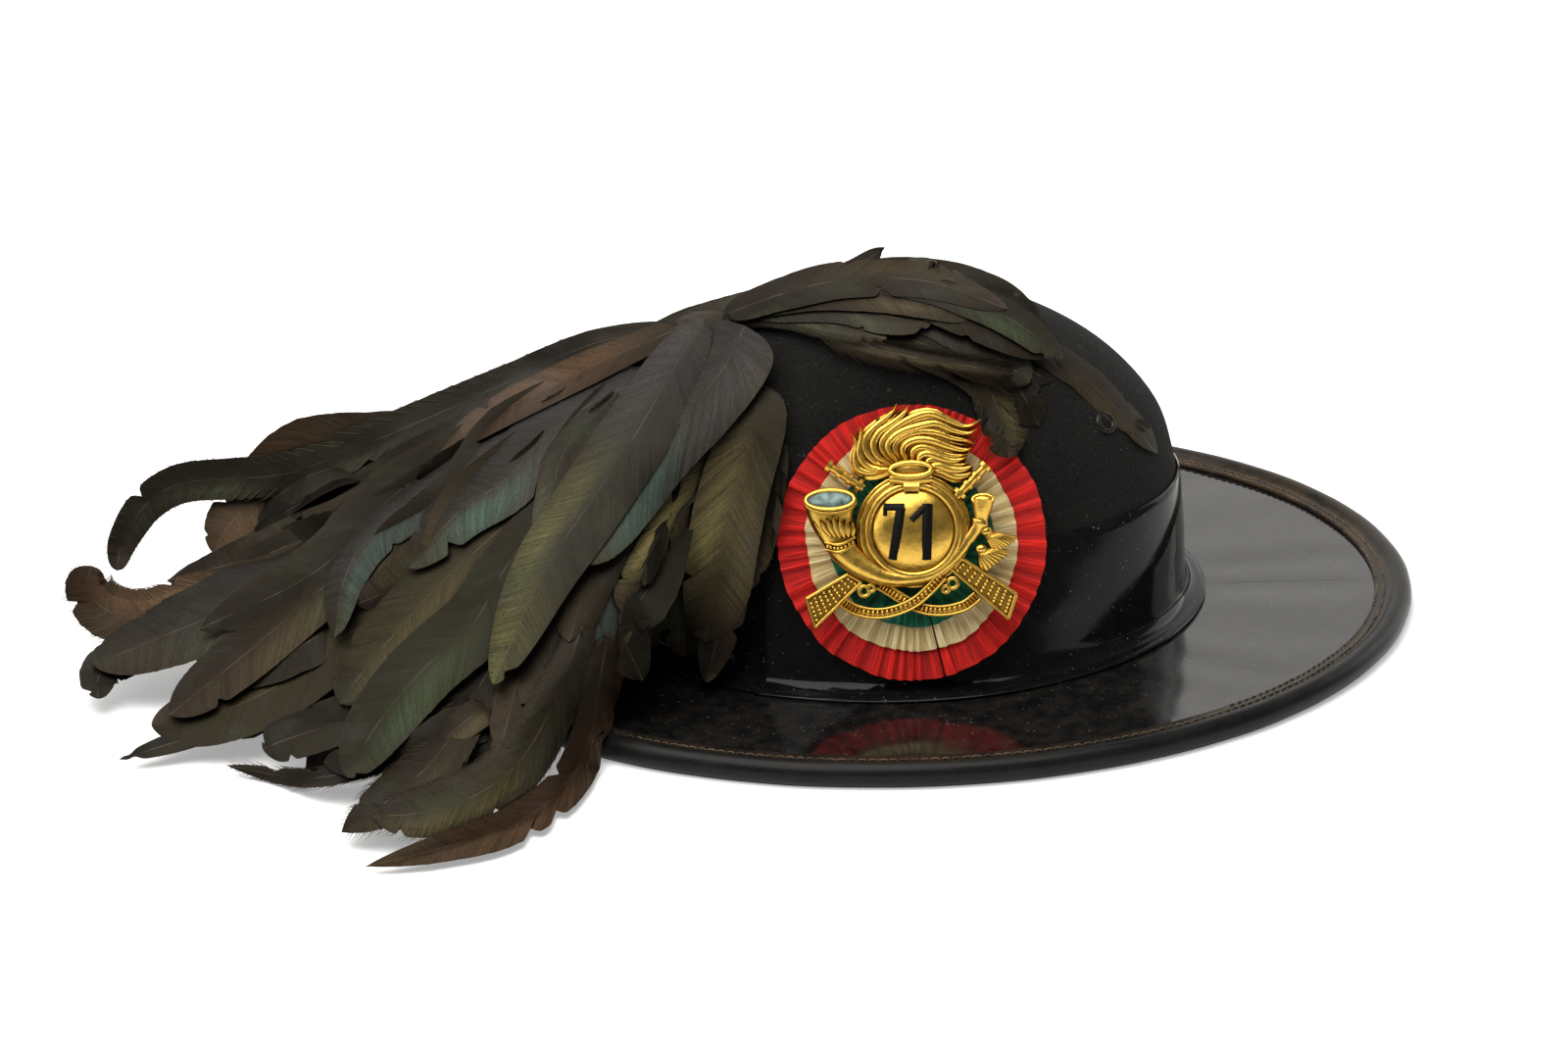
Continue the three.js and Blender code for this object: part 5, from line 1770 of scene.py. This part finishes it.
        def tint(u: float, v: float) -> Colour:
            """The feather's colour: along its length, with a painted sheen where it flashes, painted light on
            one side and painted shade on the other, and browner at its edges.
            """
            across = across_at(u)
            root, middle, tip, flash = colours
            colour = root.lerp(middle, ease(0.05, shine, v)).lerp(tip, ease(shine + 0.12, 0.98, v))
            # painted sheen: the flash colour on the lit half of the vane, near the shine share
            patch = 0.75 + 0.5 * noise.noise(offset + Vector((across * 2, v * length * 0.05, 9)))
            patch *= math.exp(-((v - shine - 0.08) / 0.2) ** 2) * ease(-0.05, 0.55, across * lit_side)
            colour = colour.lerp(flash, min(1.0, patch))
            colour = colour.lerp(Vector(Tone.BROWN.value[2]), 0.4 * ease(0.6, 1.0, abs(across)))
            # painted light and shade: the lit half of the vane is lighter, the other half darker
            return tuple(colour * mix(0.70, 1.22, ease(-0.35, 0.35, across * lit_side)))

        lay_sheet(bm, cells[0] * 2, cells[1], place, grain, tint)
        if not feather.barbs:
            return
        loose = bmesh.new()
        for number in range(feather.barbs):
            side = (-1) ** number
            v = mix(0.1, 0.97, (number + chance.random()) / feather.barbs)
            reach = feather.barb_length * chance.uniform(0.5, 1.2)
            start = place(0.25 + 0.15 * side, v)
            outer = place(0.25 + 0.249 * side, v)
            ahead = (place(0.25, min(1.0, v + 0.02)) - place(0.25, max(0.0, v - 0.02))).normalized()
            way = ((outer - start).normalized() + ahead * chance.uniform(0.8, 1.3)).normalized()
            tip = self.rest(outer + way * reach + ahead * reach * 0.3)
            bow = outer.lerp(tip, 0.5) + self.studio.eye.normalized() * chance.uniform(-0.4, 0.4)
            lay_bar(loose, [start, outer, bow, tip], lambda v: (0.24 * (1.05 - v), 0.18 * (1.05 - v)),
                    self.studio.eye.normalized(), 5, 3, colour=tint(0.25 + 0.2 * side, v))
        barbs = bpy.data.meshes.new("loose barbs")
        loose.to_mesh(barbs)
        loose.free()
        bm.from_mesh(barbs)
        bpy.data.meshes.remove(barbs)

    def ranks(self, feathers: Sequence[Feather]) -> list[int]:
        """How many feathers lie one on another below each feather."""
        shafts = [[spline([Vector((*pixel, 0)) for pixel in feather.route], step / 12) for step in range(13)]
                  for feather in feathers]
        found: list[int] = []
        for number, feather in enumerate(feathers):
            below = -1
            for other in range(number):
                reach = (feather.width + feathers[other].width) * self.studio.pixels_per_mm * self.overlap
                if any((a - b).length < reach for a in shafts[number] for b in shafts[other]):
                    below = max(below, found[other])
            found.append(below + 1)
        return found

    def build_seen(self, name: str, feathers: Sequence[Feather], material: Material) -> None:
        """Makes the feathers that the photograph shows, as one piece.

        Args:
            name: the piece's name.
            feathers: its feathers, from the lowest to the topmost.
            material: their finish.
        """
        chance = random.Random(SEED + len(feathers))
        scale = self.studio.pixels_per_mm
        to_eye = self.studio.eye.normalized()
        bm = bmesh.new()
        ranks = self.ranks(feathers)
        for feather, rank in zip(feathers, ranks):
            route = [Vector((*pixel, 0)) for pixel in feather.route]
            length = sum((b - a).length for a, b in zip(route, route[1:])) / scale
            lift = rank * self.layer_step + feather.lift

            def spot(run: float, away: float, drop: float, thick: float) -> Vector:
                """A point of the feather, laid on the sheet where the photograph shows it."""
                ahead = heading(route, run, 0.015).normalized()
                pixel = spline(route, run) + Vector((-ahead.y, ahead.x, 0)) * (away * scale)
                side = self.drape.side(pixel.x, pixel.y) + lift - drop
                return self.rest(self.studio.unproject(pixel.x, pixel.y, side)) + to_eye * thick

            self.lay_feather(bm, feather, length, self.seen_cells, chance, spot)
        log.info("%s: %d layers", name, max(ranks) + 1)
        finish_piece(name, bm, material, "feather", ["plume"], 75)

    def bind_head(self, bm: Mesh) -> None:
        """Adds the bound head that holds the roots of the feathers."""
        shape = Matrix.Translation(self.head) @ Matrix.Diagonal((*self.head_halves, 1))
        tints = tint_layer(bm)
        made = bmesh.ops.create_icosphere(bm, subdivisions=3, radius=1, matrix=shape)
        for vertex in made["verts"]:
            vertex.co = self.rest(vertex.co)
            # the darkest root colour, partly painted shade under the feathers
            vertex[tints] = (*Tone.DARK.value[0], 1.0)

    def lie_of(self, tip: Vector, root: bool) -> Lie:
        """How a lock's feathers lie, by where its tip is and whether they cover the roots."""
        if root:
            return self.root_lie
        if tip.x > 0:
            return self.front_lie
        return self.far_lie if tip.y > 0 else self.near_lie

    def build_under(self, material: Material) -> None:
        """Makes the feathers that fill the plume below and on the far side, from its locks."""
        chance = random.Random(SEED)
        bm = bmesh.new()
        self.bind_head(bm)
        locks = [(Vector((-row[0], -row[1], row[2])), Vector((-row[3], -row[4], row[5])), row[6], False)
                 for row in self.locks]
        roots = [(self.head.lerp(middle, self.root_from), self.head.lerp(middle, self.root_to),
                  wide * self.root_width, True) for middle, tip, wide, _ in locks if tip.x <= 0]
        for middle, tip, wide, root in locks + roots:
            full = tip.x > 0 or tip.y > 0
            count = self.far_companions if full else self.companions
            tones = self.far_tones if full else self.near_tones
            lie = self.lie_of(tip, root)
            for number in range(count):
                spread = (number + 0.5) / count - 0.5 + chance.uniform(-0.1, 0.1)
                facing = self.facing_at(middle)
                over = (tip - self.head).cross(facing).normalized() * (wide * spread)
                reach = chance.uniform(lie.shortest, lie.longest)
                drop = facing * chance.uniform(lie.deepest, lie.highest)
                start = self.head + (middle - self.head) * 0.08 + over * 0.15
                end = middle.lerp(tip, reach) + over * 1.1 + drop
                bow = middle.lerp(end, 0.5) + facing * chance.uniform(1.0, 5.0)
                bow -= over * chance.uniform(0.0, 0.5)
                stops = [start, middle + over * 0.7 + drop, bow, end]
                width = wide * chance.uniform(0.45, 0.62)
                feather = Feather((), width, chance.choice(tones), fringe=0.08)
                length = sum((b - a).length for a, b in zip(stops, stops[1:]))
                twist = chance.uniform(-0.3, 0.3) + chance.uniform(-0.14, 0.14)

                def spot(run: float, away: float, drop: float, thick: float) -> Vector:
                    """A point of the feather, round its own shaft."""
                    shaft = spline(stops, run)
                    ahead = heading(stops, run, 0.015).normalized()
                    out = self.facing_at(shaft)
                    out = (out - ahead * out.dot(ahead)).normalized()
                    out = Matrix.Rotation(twist * (0.3 + run), 3, ahead) @ out
                    return self.rest(shaft + ahead.cross(out) * away - out * drop) + out * thick

                self.lay_feather(bm, feather, length, self.under_cells, chance, spot)
        finish_piece("plume_under", bm, material, "feather", ["plume"], 75)

    def build(self) -> None:
        """Makes the whole plume."""
        material = FeatherFinish().material()
        self.build_under(material)
        self.build_seen("plume_fall", FALLING, material)
        self.build_seen("plume_crest", CREST, material)


def main() -> None:
    """Builds the studio and the hat, piece by piece."""
    logging.basicConfig(level=logging.INFO, format="%(name)s: %(message)s")
    studio = Studio()
    studio.build()
    crown = Crown()
    brim = Brim(crown)
    cockade = Cockade()
    badge = Badge(studio, cockade)
    plume = Plume(studio, crown, cockade, brim)
    for assembly in (crown, Band(crown), brim, cockade, badge, plume):
        assembly.build()


if __name__ == "__main__":
    main()
